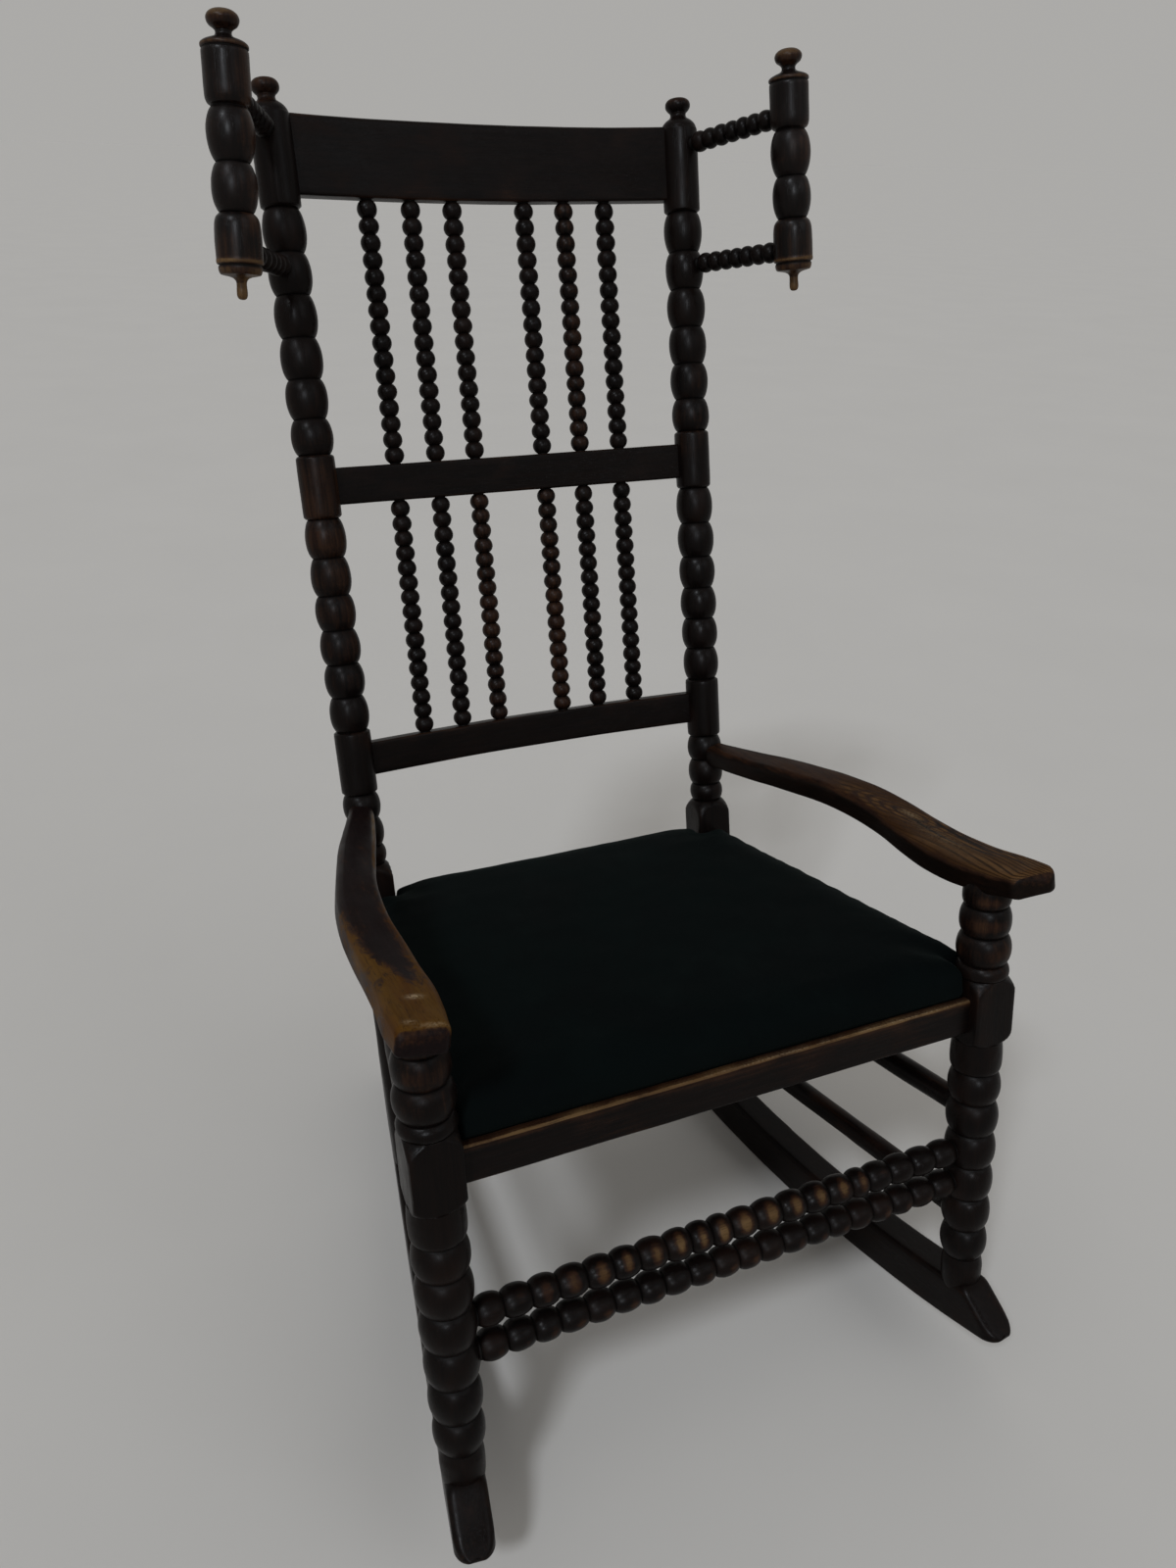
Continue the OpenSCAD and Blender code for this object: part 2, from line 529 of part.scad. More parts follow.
module webbing() {
    chair() seat_plane() {
        for (y = [90, 155, 220, 285]) translate([0, y, frame_top + 0.1]) translate([-(edge_x(y, 0) - 12), -25, 0]) cube([2 * (edge_x(y, 0) - 12), 50, 1.2]);
        for (x = [-105, -35, 35, 105]) translate([x - 25, 26, frame_top + 1.3]) cube([50, 350, 1.2]);
    }
}
module seat_padding() {
    chair() seat_plane() {
        slab(2.4, frame_top + 2.7, crown - 8);
        slab(6, crown - 8, crown - 4);
        slab(14, crown - 4, crown - 1.7);
    }
}
module seat_cover() {
    chair() seat_plane() difference() {
        union() {
            slab(0, base_z + 1, crown - 6.4);
            slab(4.2, crown - 6.4, crown - 2.4);
            slab(12.2, crown - 2.4, crown);
        }
        union() {
            slab(1.6, base_z - 1, crown - 7.9);
            slab(5.8, crown - 7.95, crown - 3.9);
            slab(13.8, crown - 3.95, crown - 1.6);
        }
    }
}

oak = [0.13, 0.075, 0.05];
worn = [0.32, 0.19, 0.10];
module o() { color(oak) chair() children(); }
module p() { color([0.55, 0.42, 0.28]) chair() seat_plane() children(); }

o() left() rocker_right();  // rocker_left
o() rocker_right();
o() left() front_leg_right();  // front_leg_left
o() front_leg_right();
o() left() back_post_right();  // back_post_left
o() back_post_right();
o() crest_rail();
o() middle_slat();
o() lower_slat();
o() spindle(0, -spindle_x[2]);  // upper_spindle_1
o() spindle(0, -spindle_x[1]);  // upper_spindle_2
o() spindle(0, -spindle_x[0]);  // upper_spindle_3
o() spindle(0, spindle_x[0]);  // upper_spindle_4
o() spindle(0, spindle_x[1]);  // upper_spindle_5
o() spindle(0, spindle_x[2]);  // upper_spindle_6
o() spindle(1, -spindle_x[2]);  // lower_spindle_1
o() spindle(1, -spindle_x[1]);  // lower_spindle_2
o() spindle(1, -spindle_x[0]);  // lower_spindle_3
o() spindle(1, spindle_x[0]);  // lower_spindle_4
o() spindle(1, spindle_x[1]);  // lower_spindle_5
o() spindle(1, spindle_x[2]);  // lower_spindle_6
o() left() wing_post_right();  // wing_post_left
o() wing_post_right();
o() left() wing_spindle(0);  // wing_spindle_upper_left
o() left() wing_spindle(1);  // wing_spindle_lower_left
o() wing_spindle(0);  // wing_spindle_upper_right
o() wing_spindle(1);  // wing_spindle_lower_right
color(worn) chair() left() arm_right();  // arm_left
color(worn) chair() arm_right();
o() front_seat_rail();
o() rear_seat_rail();
o() left() side_seat_rail_right();  // side_seat_rail_left
o() side_seat_rail_right();
o() front_stretcher(1);  // front_stretcher_upper
o() front_stretcher(0);  // front_stretcher_lower
o() left() side_stretcher(0);  // side_stretcher_upper_left
o() left() side_stretcher(1);  // side_stretcher_lower_left
o() side_stretcher(0);  // side_stretcher_upper_right
o() side_stretcher(1);  // side_stretcher_lower_right
o() rear_stretcher();
p() pad_frame_front();
p() pad_frame_rear();
p() left() pad_frame_right();  // pad_frame_left
p() pad_frame_right();
color([0.5, 0.42, 0.3]) webbing();  // seat_webbing
color([0.75, 0.7, 0.6]) seat_padding();
color([0.02, 0.05, 0.045]) seat_cover();  // velvet_cover
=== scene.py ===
"""Bobbin-turned rocking chair with head wings: the looks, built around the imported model.

All shapes are worked out in the chair's own frame, in millimetres: +X the side on the right of the picture, +Y to the back,
+Z up the front legs, the origin between the front legs at their collars. world() leans that frame back onto the rockers.
"""

import math
import random

import bpy
import bmesh
import numpy as np
from mathutils import Matrix, Vector

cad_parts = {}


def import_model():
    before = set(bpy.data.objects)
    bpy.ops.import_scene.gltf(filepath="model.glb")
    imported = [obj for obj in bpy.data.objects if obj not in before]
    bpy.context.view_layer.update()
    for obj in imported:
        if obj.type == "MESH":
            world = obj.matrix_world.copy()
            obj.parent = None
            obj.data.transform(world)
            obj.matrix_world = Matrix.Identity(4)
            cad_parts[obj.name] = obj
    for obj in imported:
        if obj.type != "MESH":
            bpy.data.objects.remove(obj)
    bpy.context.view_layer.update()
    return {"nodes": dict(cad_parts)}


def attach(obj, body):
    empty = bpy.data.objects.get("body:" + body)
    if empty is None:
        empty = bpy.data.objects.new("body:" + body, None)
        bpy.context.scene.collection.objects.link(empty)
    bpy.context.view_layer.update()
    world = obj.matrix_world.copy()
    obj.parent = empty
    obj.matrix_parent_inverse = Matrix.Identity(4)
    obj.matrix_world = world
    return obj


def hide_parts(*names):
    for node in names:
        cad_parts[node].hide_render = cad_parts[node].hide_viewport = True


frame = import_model()
sc = bpy.context.scene

# ---------------------------------------------------------------- frame of the chair
LEAN = math.radians(10.7)
SHIFT, UP = -269.85, 326.280
CHAIR = Matrix.Translation((0, SHIFT / 1000, UP / 1000)) @ Matrix.Rotation(-LEAN, 4, "X")
CH = np.array(CHAIR)


def world(P):
    """Chair-frame millimetres to row-frame metres."""
    P = np.asarray(P, float) / 1000
    return P @ CH[:3, :3].T + CH[:3, 3]


# ---------------------------------------------------------------- camera
cam = bpy.data.objects.new("camera", bpy.data.cameras.new("camera"))
sc.collection.objects.link(cam)
sc.camera = cam
cam.data.sensor_width = 36
cam.data.lens = 1185.9 / 1600 * 36
cam.data.clip_start = 0.05
right = Vector((0.91965, -0.39006, -0.04576))
down = Vector((-0.16551, -0.27925, -0.94585))
ahead = Vector((0.35616, 0.87743, -0.32137))
rot = Matrix((right, -down, -ahead)).transposed()
cam.matrix_world = CHAIR @ (Matrix.Translation((-0.41685, -0.73941, 0.61607)) @ rot.to_4x4())

# ---------------------------------------------------------------- materials
RED = (0.0175, 0.0070, 0.0042)
RUST = (0.0330, 0.0145, 0.0072)


class Tree:
    """A material's node tree, with short ways to add nodes to it."""

    def __init__(self, name):
        self.mat = bpy.data.materials.new(name)
        self.mat.use_nodes = True
        self.t = self.mat.node_tree
        self.b = self.t.nodes["Principled BSDF"]

    def node(self, kind, **kw):
        n = self.t.nodes.new(kind)
        for k, v in kw.items():
            setattr(n, k, v)
        return n

    def put(self, sock, v):
        if isinstance(v, bpy.types.NodeSocket):
            self.t.links.new(v, sock)
        else:
            sock.default_value = v

    def attr(self, name, vector=False):
        n = self.node("ShaderNodeAttribute", attribute_name=name)
        return n.outputs["Vector" if vector else "Fac"]

    def map(self, v, scale, loc=(0, 0, 0)):
        n = self.node("ShaderNodeMapping")
        self.put(n.inputs["Vector"], v)
        n.inputs["Scale"].default_value = scale
        n.inputs["Location"].default_value = loc
        return n.outputs[0]

    def noise(self, v, scale, detail=3.0, rough=0.55, dist=0.0):
        n = self.node("ShaderNodeTexNoise")
        self.put(n.inputs["Vector"], v)
        n.inputs["Scale"].default_value = scale
        n.inputs["Detail"].default_value = detail
        n.inputs["Roughness"].default_value = rough
        n.inputs["Distortion"].default_value = dist
        return n.outputs["Fac"]

    def math(self, op, a, b=None, c=None, clamp=False):
        n = self.node("ShaderNodeMath", operation=op, use_clamp=clamp)
        self.put(n.inputs[0], a)
        if b is not None:
            self.put(n.inputs[1], b)
        if c is not None:
            self.put(n.inputs[2], c)
        return n.outputs[0]

    def ramp(self, v, lo, hi, a=0.0, b=1.0, smooth=True):
        n = self.node("ShaderNodeMapRange", interpolation_type="SMOOTHSTEP" if smooth else "LINEAR")
        self.put(n.inputs["Value"], v)
        n.inputs["From Min"].default_value = lo
        n.inputs["From Max"].default_value = hi
        n.inputs["To Min"].default_value = a
        n.inputs["To Max"].default_value = b
        return n.outputs["Result"]

    def mix(self, f, a, b, blend="MIX"):
        n = self.node("ShaderNodeMix", data_type="RGBA", blend_type=blend)
        self.put(n.inputs[0], f)
        for s, v in ((n.inputs[6], a), (n.inputs[7], b)):
            self.put(s, v if isinstance(v, bpy.types.NodeSocket) else (*v, 1.0))
        return n.outputs[2]

    def bump(self, height, strength, distance, normal=None):
        n = self.node("ShaderNodeBump")
        n.inputs["Strength"].default_value = strength
        n.inputs["Distance"].default_value = distance
        self.put(n.inputs["Height"], height)
        if normal is not None:
            self.put(n.inputs["Normal"], normal)
        return n.outputs[0]


def oak(name, dark=(0.0026, 0.0019, 0.0018), brown=(0.0080, 0.0043, 0.0033), tan=(0.070, 0.035, 0.0130), honey=(0.125, 0.072, 0.029),
        rough=0.29, rings=0.0, pitch=150, spec=0.085, crackle=0.0):
    """Stained oak. Reads gco (the grain's own coordinates, Z along it), wear, groove, tone and chip from the mesh."""
    m = Tree(name)
    g = m.attr("gco", True)
    wear, groove, tone, chip = m.attr("wear"), m.attr("groove"), m.attr("tone"), m.attr("chip")
    streak = m.noise(m.map(g, (1, 1, 0.045)), 300, 4, 0.6)
    band = m.noise(m.map(g, (1, 1, 0.10)), 60, 3, 0.5, 0.4)
    blotch = m.noise(m.map(g, (1, 1, 0.6)), 30, 3, 0.55)
    fine = m.noise(g, 520, 3, 0.6)
    pore = m.noise(m.map(g, (1, 1, 0.035)), 1500, 2, 0.5)
    pores = m.ramp(pore, 0.585, 0.66)
    # growth rings, cut by a sawn face
    wave = m.node("ShaderNodeTexWave", wave_type="RINGS", rings_direction="Z", bands_direction="X")
    m.put(wave.inputs["Vector"], m.map(g, (1, 1, 0.02), (0.004, 0.052, 0)))
    wave.inputs["Scale"].default_value = pitch
    wave.inputs["Distortion"].default_value = 2.6
    wave.inputs["Detail"].default_value = 2.0
    wave.inputs["Detail Scale"].default_value = 0.8
    ring = m.math("MULTIPLY", m.ramp(wave.outputs["Fac"], 0.45, 0.98), m.ramp(band, 0.35, 0.62, 0.35, 1.0))
    stain = m.mix(m.math("ADD", m.math("MULTIPLY", m.ramp(streak, 0.3, 0.7), 0.40), m.math("MULTIPLY", tone, 0.55)), dark, brown)
    stain = m.mix(m.ramp(blotch, 0.50, 0.72, 0, 0.50), stain, tuple(c * 0.62 for c in RED))
    # worn places: the stain thins to red-brown and then to bare tan wood
    w = m.math("ADD", wear, m.math("MULTIPLY", m.math("SUBTRACT", blotch, 0.5), 0.42))
    w = m.math("ADD", w, m.math("MULTIPLY", m.math("SUBTRACT", streak, 0.5), 0.34))
    w = m.math("ADD", w, m.math("MULTIPLY", m.math("SUBTRACT", fine, 0.5), 0.20))
    if crackle:
        rag = m.math("MULTIPLY", m.attr("rag"), crackle)
        w = m.math("ADD", w, m.math("MULTIPLY", m.math("SUBTRACT", m.noise(m.map(g, (1, 1, 0.55)), 85, 6, 0.74, 0.8), 0.5), rag))
    w1 = m.ramp(w, 0.24, 0.58)
    w2 = m.ramp(w, 0.54, 0.88)
    bare = m.mix(m.ramp(band, 0.35, 0.65), tan, honey)
    bare = m.mix(m.math("MULTIPLY", m.ramp(streak, 0.42, 0.72), 0.42), bare, tuple(c * 0.50 for c in tan))
    bare = m.mix(m.math("MULTIPLY", ring, rings), bare, tuple(c * 0.26 for c in tan))
    col = m.mix(w1, stain, m.mix(m.ramp(streak, 0.3, 0.7), RED, RUST))
    col = m.mix(w2, col, bare)
    col = m.mix(m.math("MULTIPLY", pores, 0.50), col, (0.0045, 0.0032, 0.0028))
    col = m.mix(m.math("MULTIPLY", chip, m.ramp(fine, 0.35, 0.6)), col, (0.36, 0.27, 0.165))
    # painted shade: the colour is pulled darker in the grooves between the beads
    groove_shade = m.math("MULTIPLY", groove, m.ramp(fine, 0.25, 0.6, 0.6, 1.0))
    col = m.mix(groove_shade, col, (0.0036, 0.0029, 0.0026))
    m.put(m.b.inputs["Base Color"], col)
    r = m.math("ADD", m.ramp(blotch, 0.3, 0.75, rough - 0.06, rough + 0.10), m.math("MULTIPLY", w2, 0.12))
    r = m.math("ADD", r, m.math("MULTIPLY", groove, 0.2))
    m.put(m.b.inputs["Roughness"], r)
    m.b.inputs["Specular IOR Level"].default_value = spec
    n = m.bump(pores, 0.30, -0.00022)
    n = m.bump(streak, 0.22, 0.00030, n)
    n = m.bump(blotch, 0.40, 0.0009, n)
    m.put(m.b.inputs["Normal"], n)
    return m.mat


OAK = oak("dark_oak", rough=0.33, spec=0.080)
OAK_WAXED = oak("waxed_oak", brown=(0.0092, 0.0046, 0.0036), rough=0.33, spec=0.125)
ARM_L = oak("honey_arm_oak", dark=(0.0050, 0.0032, 0.0034), brown=(0.0120, 0.0062, 0.0060), tan=(0.066, 0.0235, 0.0030), honey=(0.086, 0.0400, 0.0060),
            rough=0.40, rings=0.0, spec=0.050, crackle=2.6)
ARM_R = oak("brown_arm_oak", brown=(0.0110, 0.0056, 0.0034), tan=(0.036, 0.0145, 0.0044), honey=(0.100, 0.0500, 0.0185), rough=0.42, rings=0.85, pitch=170,
            spec=0.055, crackle=0.5)


def raw_wood():
    m = Tree("aged_frame_wood")
    tc = m.node("ShaderNodeTexCoord").outputs["Object"]
    g = m.noise(m.map(tc, (0.06, 1, 1)), 180, 5, 0.6)
    b = m.noise(tc, 18, 3)
    col = m.mix(g, (0.085, 0.050, 0.026), (0.17, 0.105, 0.055))
    col = m.mix(m.ramp(b, 0.45, 0.75, 0, 0.6), col, (0.060, 0.034, 0.018))
    m.put(m.b.inputs["Base Color"], col)
    m.put(m.b.inputs["Roughness"], m.ramp(b, 0.3, 0.7, 0.62, 0.8))
    m.put(m.b.inputs["Normal"], m.bump(g, 0.5, 0.0006))
    return m.mat


def jute():
    m = Tree("jute_webbing")
    tc = m.node("ShaderNodeTexCoord").outputs["Object"]
    a = m.node("ShaderNodeTexWave", bands_direction="X")
    b = m.node("ShaderNodeTexWave", bands_direction="Y")
    for w in (a, b):
        m.put(w.inputs["Vector"], tc)
        w.inputs["Scale"].default_value = 170
        w.inputs["Distortion"].default_value = 1.5
    h = m.math("MULTIPLY", a.outputs["Fac"], b.outputs["Fac"])
    n = m.noise(tc, 90, 4)
    col = m.mix(h, (0.10, 0.065, 0.032), (0.34, 0.25, 0.14))
    col = m.mix(m.math("MULTIPLY", n, 0.4), col, (0.20, 0.14, 0.075))
    m.put(m.b.inputs["Base Color"], col)
    m.put(m.b.inputs["Roughness"], m.ramp(n, 0.3, 0.7, 0.8, 0.95))
    m.put(m.b.inputs["Normal"], m.bump(h, 0.8, 0.0008))
    return m.mat


def velvet():
    """Very dark bottle-green velvet: short pile with a soft sheen, brushed in slow patches."""
    m = Tree("bottle_green_velvet")
    tc = m.node("ShaderNodeTexCoord").outputs["Object"]
    nap = m.noise(tc, 9, 3, 0.5, 0.6)
    patch = m.noise(m.map(tc, (1, 0.6, 1)), 26, 4, 0.6)
    pile = m.noise(tc, 2600, 2, 0.6)
    weave = m.noise(m.map(tc, (1, 0.35, 1)), 900, 2, 0.5)
    col = m.mix(m.ramp(nap, 0.35, 0.68), (0.0008, 0.0018, 0.0020), (0.0015, 0.0033, 0.0033))
    col = m.mix(m.ramp(patch, 0.5, 0.75, 0, 0.5), col, (0.0024, 0.0048, 0.0046))
    col = m.mix(m.math("MULTIPLY", m.ramp(pile, 0.42, 0.62), 0.35), col, (0.0010, 0.0020, 0.0021))
    m.put(m.b.inputs["Base Color"], col)
    m.put(m.b.inputs["Roughness"], m.ramp(nap, 0.3, 0.7, 0.78, 0.92))
    m.b.inputs["Specular IOR Level"].default_value = 0.04
    m.b.inputs["Sheen Weight"].default_value = 0.022
    m.b.inputs["Sheen Roughness"].default_value = 0.42
    m.b.inputs["Sheen Tint"].default_value = (0.30, 0.52, 0.46, 1)
    n = m.bump(pile, 0.30, 0.0004)
    n = m.bump(weave, 0.20, 0.0004, n)
    n = m.bump(patch, 0.35, 0.0012, n)
    m.put(m.b.inputs["Normal"], n)
    return m.mat


RAW, JUTE, VELVET = raw_wood(), jute(), velvet()


# ---------------------------------------------------------------- mesh helpers
def piece(name, node, V, F, mat, slot, body="chair_frame", sharp=42, **attrs):
    """Makes a piece from chair-frame millimetres, which stands for a CAD node and rides on its body."""
    me = bpy.data.meshes.new(name)
    me.from_pydata(world(V).tolist(), [], F)
    for k, v in attrs.items():
        if k == "gco":
            a = me.attributes.new(k, "FLOAT_VECTOR", "POINT")
            a.data.foreach_set("vector", np.asarray(v, np.float32).ravel())
        else:
            a = me.attributes.new(k, "FLOAT", "POINT")
            a.data.foreach_set("value", np.broadcast_to(np.asarray(v, np.float32), (len(V),)).copy())
    bm = bmesh.new()
    bm.from_mesh(me)
    bmesh.ops.recalc_face_normals(bm, faces=bm.faces)
    bm.to_mesh(me)
    bm.free()
    me.shade_smooth()
    me.set_sharp_from_angle(angle=math.radians(sharp))
    me.materials.append(mat)
    ob = bpy.data.objects.new(name, me)
    sc.collection.objects.link(ob)
    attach(ob, body)
    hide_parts(*([node] if isinstance(node, str) else node))
    return ob


def wob(P, scale, seed):
    """A smooth wandering value from -1 to 1 over points P (mm)."""
    rng = np.random.default_rng(seed)
    out = np.zeros(len(P))
    for k in range(5):
        d = rng.normal(size=3)
        d /= np.linalg.norm(d)
        out += np.sin(P @ d * (2 * math.pi / scale) * (0.6 + 0.5 * k) + rng.uniform(0, 6.28)) / (1 + 0.6 * k)
    return out / 2.2


def arc_t(n):
    return [(1 - math.cos(math.pi * i / n)) / 2 for i in range(n)]


class Profile:
    """Rows of a turned piece, from its foot up: radius, height, groove, and which bead it is on."""

    def __init__(self, seed=0):
        self.rows = []
        self.rng = random.Random(seed)
        self.bead_no = 0

    def pt(self, r, z, g=0.0):
        self.rows.append((r, z, g, self.bead_no, 0.5))
        return self

    def curve(self, pts, n=5, g=0.0):
        """A smooth line through [r, z] points."""
        p = [pts[0]] + list(pts) + [pts[-1]]
        for i in range(1, len(p) - 2):
            for k in range(n):
                t = k / n
                q = [0.5 * (2 * p[i][c] + (p[i + 1][c] - p[i - 1][c]) * t
                     + (2 * p[i - 1][c] - 5 * p[i][c] + 4 * p[i + 1][c] - p[i + 2][c]) * t * t
                     + (3 * p[i][c] - p[i - 1][c] - 3 * p[i + 1][c] + p[i + 2][c]) * t ** 3) for c in (0, 1)]
                self.rows.append((q[0], q[1], g, self.bead_no, 0.5))
        self.rows.append((pts[-1][0], pts[-1][1], g, self.bead_no, 0.5))
        return self

    def bead(self, z0, z1, rv, rb, n=12, p=2.05, vary=0.012, rv1=None):
        """One bobbin between two grooves."""
        self.bead_no += 1
        rb = rb * (1 + self.rng.uniform(-vary, vary * 0.4))
        sk = self.rng.uniform(-0.06, 0.06)
        rv1 = rv if rv1 is None else rv1
        for t in arc_t(n):
            s = t + sk * t * (1 - t) * 2
            b = (1 - abs(2 * s - 1) ** p) ** 0.72
            base = rv + (rv1 - rv) * t
            d = min(t, 1 - t)
            self.rows.append((base + (rb - base) * b, z0 + (z1 - z0) * t, max(0.0, 1 - d / 0.055), self.bead_no, t))
        return self

    def beads(self, zs, rv, rb, n=12, p=2.05, vary=0.012):
        for a, b in zip(zs[:-1], zs[1:]):
            self.bead(a, b, rv, rb, n, p, vary)
        self.rows.append((rv, zs[-1], 1.0, self.bead_no, 0.0))
        return self


def lathe(prof, segs, radial=None, seed=0, rough=0.12):
    """Revolves a profile about Z. Returns vertices, faces and the row arrays for each vertex."""
    rows = np.array(prof.rows, float)
    n = len(rows)
    th = np.arange(segs) * 2 * math.pi / segs
    R = np.repeat(rows[:, 0][:, None], segs, 1)
    if radial is not None:
        R = radial(R, th[None, :], rows[:, 1][:, None])
    Z = np.repeat(rows[:, 1][:, None], segs, 1)
    P = np.stack([R * np.cos(th), R * np.sin(th), Z], -1).reshape(-1, 3)
    amp = rough * wob(P, 23, seed) + rough * 0.6 * wob(P, 9, seed + 1)
    rr = np.maximum(R.reshape(-1), 0.01)
    P[:, 0] *= 1 + amp / np.maximum(rr, 4)
    P[:, 1] *= 1 + amp / np.maximum(rr, 4)
    F = []
    for i in range(n - 1):
        a, b = i * segs, (i + 1) * segs
        for j in range(segs):
            k = (j + 1) % segs
            F.append((a + j, a + k, b + k, b + j))
    F.append(tuple(reversed(range(segs))))
    F.append(tuple(range((n - 1) * segs, n * segs)))
    per = lambda c: np.repeat(rows[:, c], segs)
    return P, F, dict(z=per(1), g=per(2), bead=per(3), t=per(4), th=np.tile(th, n), r=per(0))


def rx(a):
    return np.array(Matrix.Rotation(math.radians(a), 4, "X"))


def ry(a):
    return np.array(Matrix.Rotation(math.radians(a), 4, "Y"))


def rz(a):
    return np.array(Matrix.Rotation(math.radians(a), 4, "Z"))


def tr(x, y, z):
    return np.array(Matrix.Translation((x, y, z)))


def app(M, P):
    return P @ M[:3, :3].T + M[:3, 3]


def from_to(p, q):
    p, q = np.array(p, float), np.array(q, float)
    v = q - p
    L = np.linalg.norm(v)
    return tr(*p) @ rz(math.degrees(math.atan2(v[1], v[0]))) @ ry(math.degrees(math.acos(v[2] / L))), L


def hash01(*k):
    return random.Random("/".join(map(str, k))).random()


def bead_tone(info, seed, amount=0.5):
    """A different depth of stain on each bead."""
    ids = info["bead"].astype(int)
    table = np.array([hash01(seed, i) for i in range(ids.max() + 1)])
    return amount * table[ids]


def turned(name, node, M, prof, segs, wear, seed, mirror=False, radial=None, rough=0.12, mat=None, groove_k=1.0):
    P, F, info = lathe(prof, segs, radial, seed, rough)
    C = app(M, P)
    if mirror:
        C = C * np.array([-1, 1, 1])
    rad = np.stack([np.cos(info["th"]), np.sin(info["th"]), np.zeros(len(P))], -1) @ M[:3, :3].T
    if mirror:
        rad = rad * np.array([-1, 1, 1])
    info["n"] = rad
    W = np.clip(wear(C, info), 0, 1.2)
    gco = P / 1000 + np.array([hash01(seed, "x") * 3, hash01(seed, "y") * 3, hash01(seed, "z") * 5])
    return piece(name, node, C, F, mat or OAK, "dark_stained_oak", gco=gco, wear=W, groove=info["g"] * groove_k,
                 tone=bead_tone(info, seed))


def gauss(x, c, s):
    return np.exp(-(((x - c) / s) ** 2))


# ---------------------------------------------------------------- dimensions shared with the CAD
POST_X, POST_Y, RAKE, SPLAY = 202.6, 405.7, 3.92, 0.35
LEG_X, LEG_B, POST_B = 260.0, 21.5, 20.0
CREST, MID, LOW = (799.8, 868.8), (520.0, 555.8), (244.0, 278.4)
SPX = (37.6, 80.3, 124.0)
UPZ = (568.6, 602, 638.2, 675.2, 713, 749.5, 787.4)
LOWZ = (294.4, 330.2, 364, 398.7, 433.3, 470.3, 508.2)
BACK = tr(0, POST_Y, 0) @ rx(-RAKE)
POST_AXIS = BACK @ tr(POST_X, 0, 0) @ ry(SPLAY)
SEAT = tr(0, 0, 81) @ rx(1.4)


def px(z):
    return POST_X + z * math.tan(math.radians(SPLAY))


def py(z):
    return POST_Y + z * math.tan(math.radians(RAKE))


def rounded_square(th, a, c):
    f = np.abs(((th + math.pi / 4) % (math.pi / 2)) - math.pi / 4)
    straight = a / np.cos(f)
    k = (a - c) * (np.cos(f) + np.sin(f))
    corner = k + np.sqrt(np.maximum(k * k - 2 * (a - c) ** 2 + c * c, 0))
    return np.where(a * np.tan(f) <= a - c, straight, corner)


def smin(a, b, k):
    h = np.clip(0.5 + 0.5 * (b - a) / k, 0, 1)
    return b * (1 - h) + a * h - k * h * (1 - h)


def square_block(z0, z1, a, c):
    """Cuts the turned profile square between two heights."""

    def radial(R, th, Z):
        sq = rounded_square(th, a, c) + 0 * Z
        cut = smin(R, sq, 0.7)
        return np.where((Z > z0) & (Z < z1), cut, R)

    return radial


# ---------------------------------------------------------------- front legs
def leg_profile(seed):
    p = Profile(seed)
    p.curve([(15.5, -262), (17.2, -250), (18.9, -240), (19.5, -229), (19.3, -220), (18.0, -213), (17.4, -210.2)], 6)
    cuts = (-209.7, -175.9, -139.6, -103.1, -67.3, -32.6, 0)
    for k, thin in enumerate((1.9, 1.2, 0.7, 0.3, 0, 0)):
        p.bead(cuts[k], cuts[k + 1], 18.4 - thin, 24.1 - thin, 17, 2.1)
    p.rows.append((19.0, 0.0, 1.0, p.bead_no, 0))
    p.curve([(19.2, 0.2), (21.2, 1.4), (22.8, 4.4), (23.4, 10), (23.4, 20), (22.8, 28), (22.2, 33.4)], 4)
    p.bead_no += 1
    for z, r in ((33.6, 22.2), (34.2, 23.2), (35.2, 25.0), (36.6, 26.6), (38.4, 27.9), (40.5, 29.0), (44, 30.6), (52, 31.5), (66, 31.5),
                 (78, 31.5), (84, 31.0), (87.5, 29.6), (90.4, 27.8), (92.8, 26.0), (94.8, 24.3), (96.4, 22.9), (97.6, 22.2), (98.2, 22.0)):
        p.pt(r, z)
    p.bead_no += 1
    p.curve([(21.2, 98.3), (22.9, 99.8), (23.6, 103), (23.0, 107), (21.0, 110.4), (19.4, 111.4)], 4)
    p.bead(111.4, 139.6, 19.2, 24.4, 17)
    p.bead(139.6, 167.0, 18.6, 23.0, 17)
    p.rows.append((17.6, 167.0, 1.0, p.bead_no, 0))
    p.bead_no += 1
    p.curve([(18.4, 167.4), (20.4, 170.0), (21.3, 175), (21.0, 182), (19.8, 187.5), (19.0, 190), (18.9, 194)], 4)
    return p


def leg_wear(side):
    def f(C, i):
        z, n = i["z"], i["n"]
        w = 0.07 + 0.07 * (i["t"] > 0.3) * (i["t"] < 0.7) + 0.07 * wob(C, 70, 5 + side)
        up = np.clip((z - 100) / 25, 0, 1)
        # handled most just under the arm: the stain there has gone red
        w = w + (0.15 if side > 0 else 0.08) * up + 0.05 * up * np.clip(-n[:, 1], 0, 1)
        corner = np.abs(np.cos(2 * i["th"])) < 0.13
        blk = (z > 36) & (z < 96)
        w = w + 0.16 * (blk & corner) * (0.8 + 0.4 * wob(C, 30, 9)) + 0.06 * gauss(z, 93, 4)
        # two small bare ovals on the leg at the right, facing the sitter's knee
        if side > 0:
            face = np.clip(-n[:, 1] * 0.86 - n[:, 0] * 0.5, 0, 1) ** 6
            w = w + 0.32 * face * (gauss(z, 176, 4) + 0.9 * gauss(z, 154, 6))
        else:
            w = w + 0.05 * gauss(z, 150, 22) * np.clip(-n[:, 1], 0, 1)
        return w

    return f


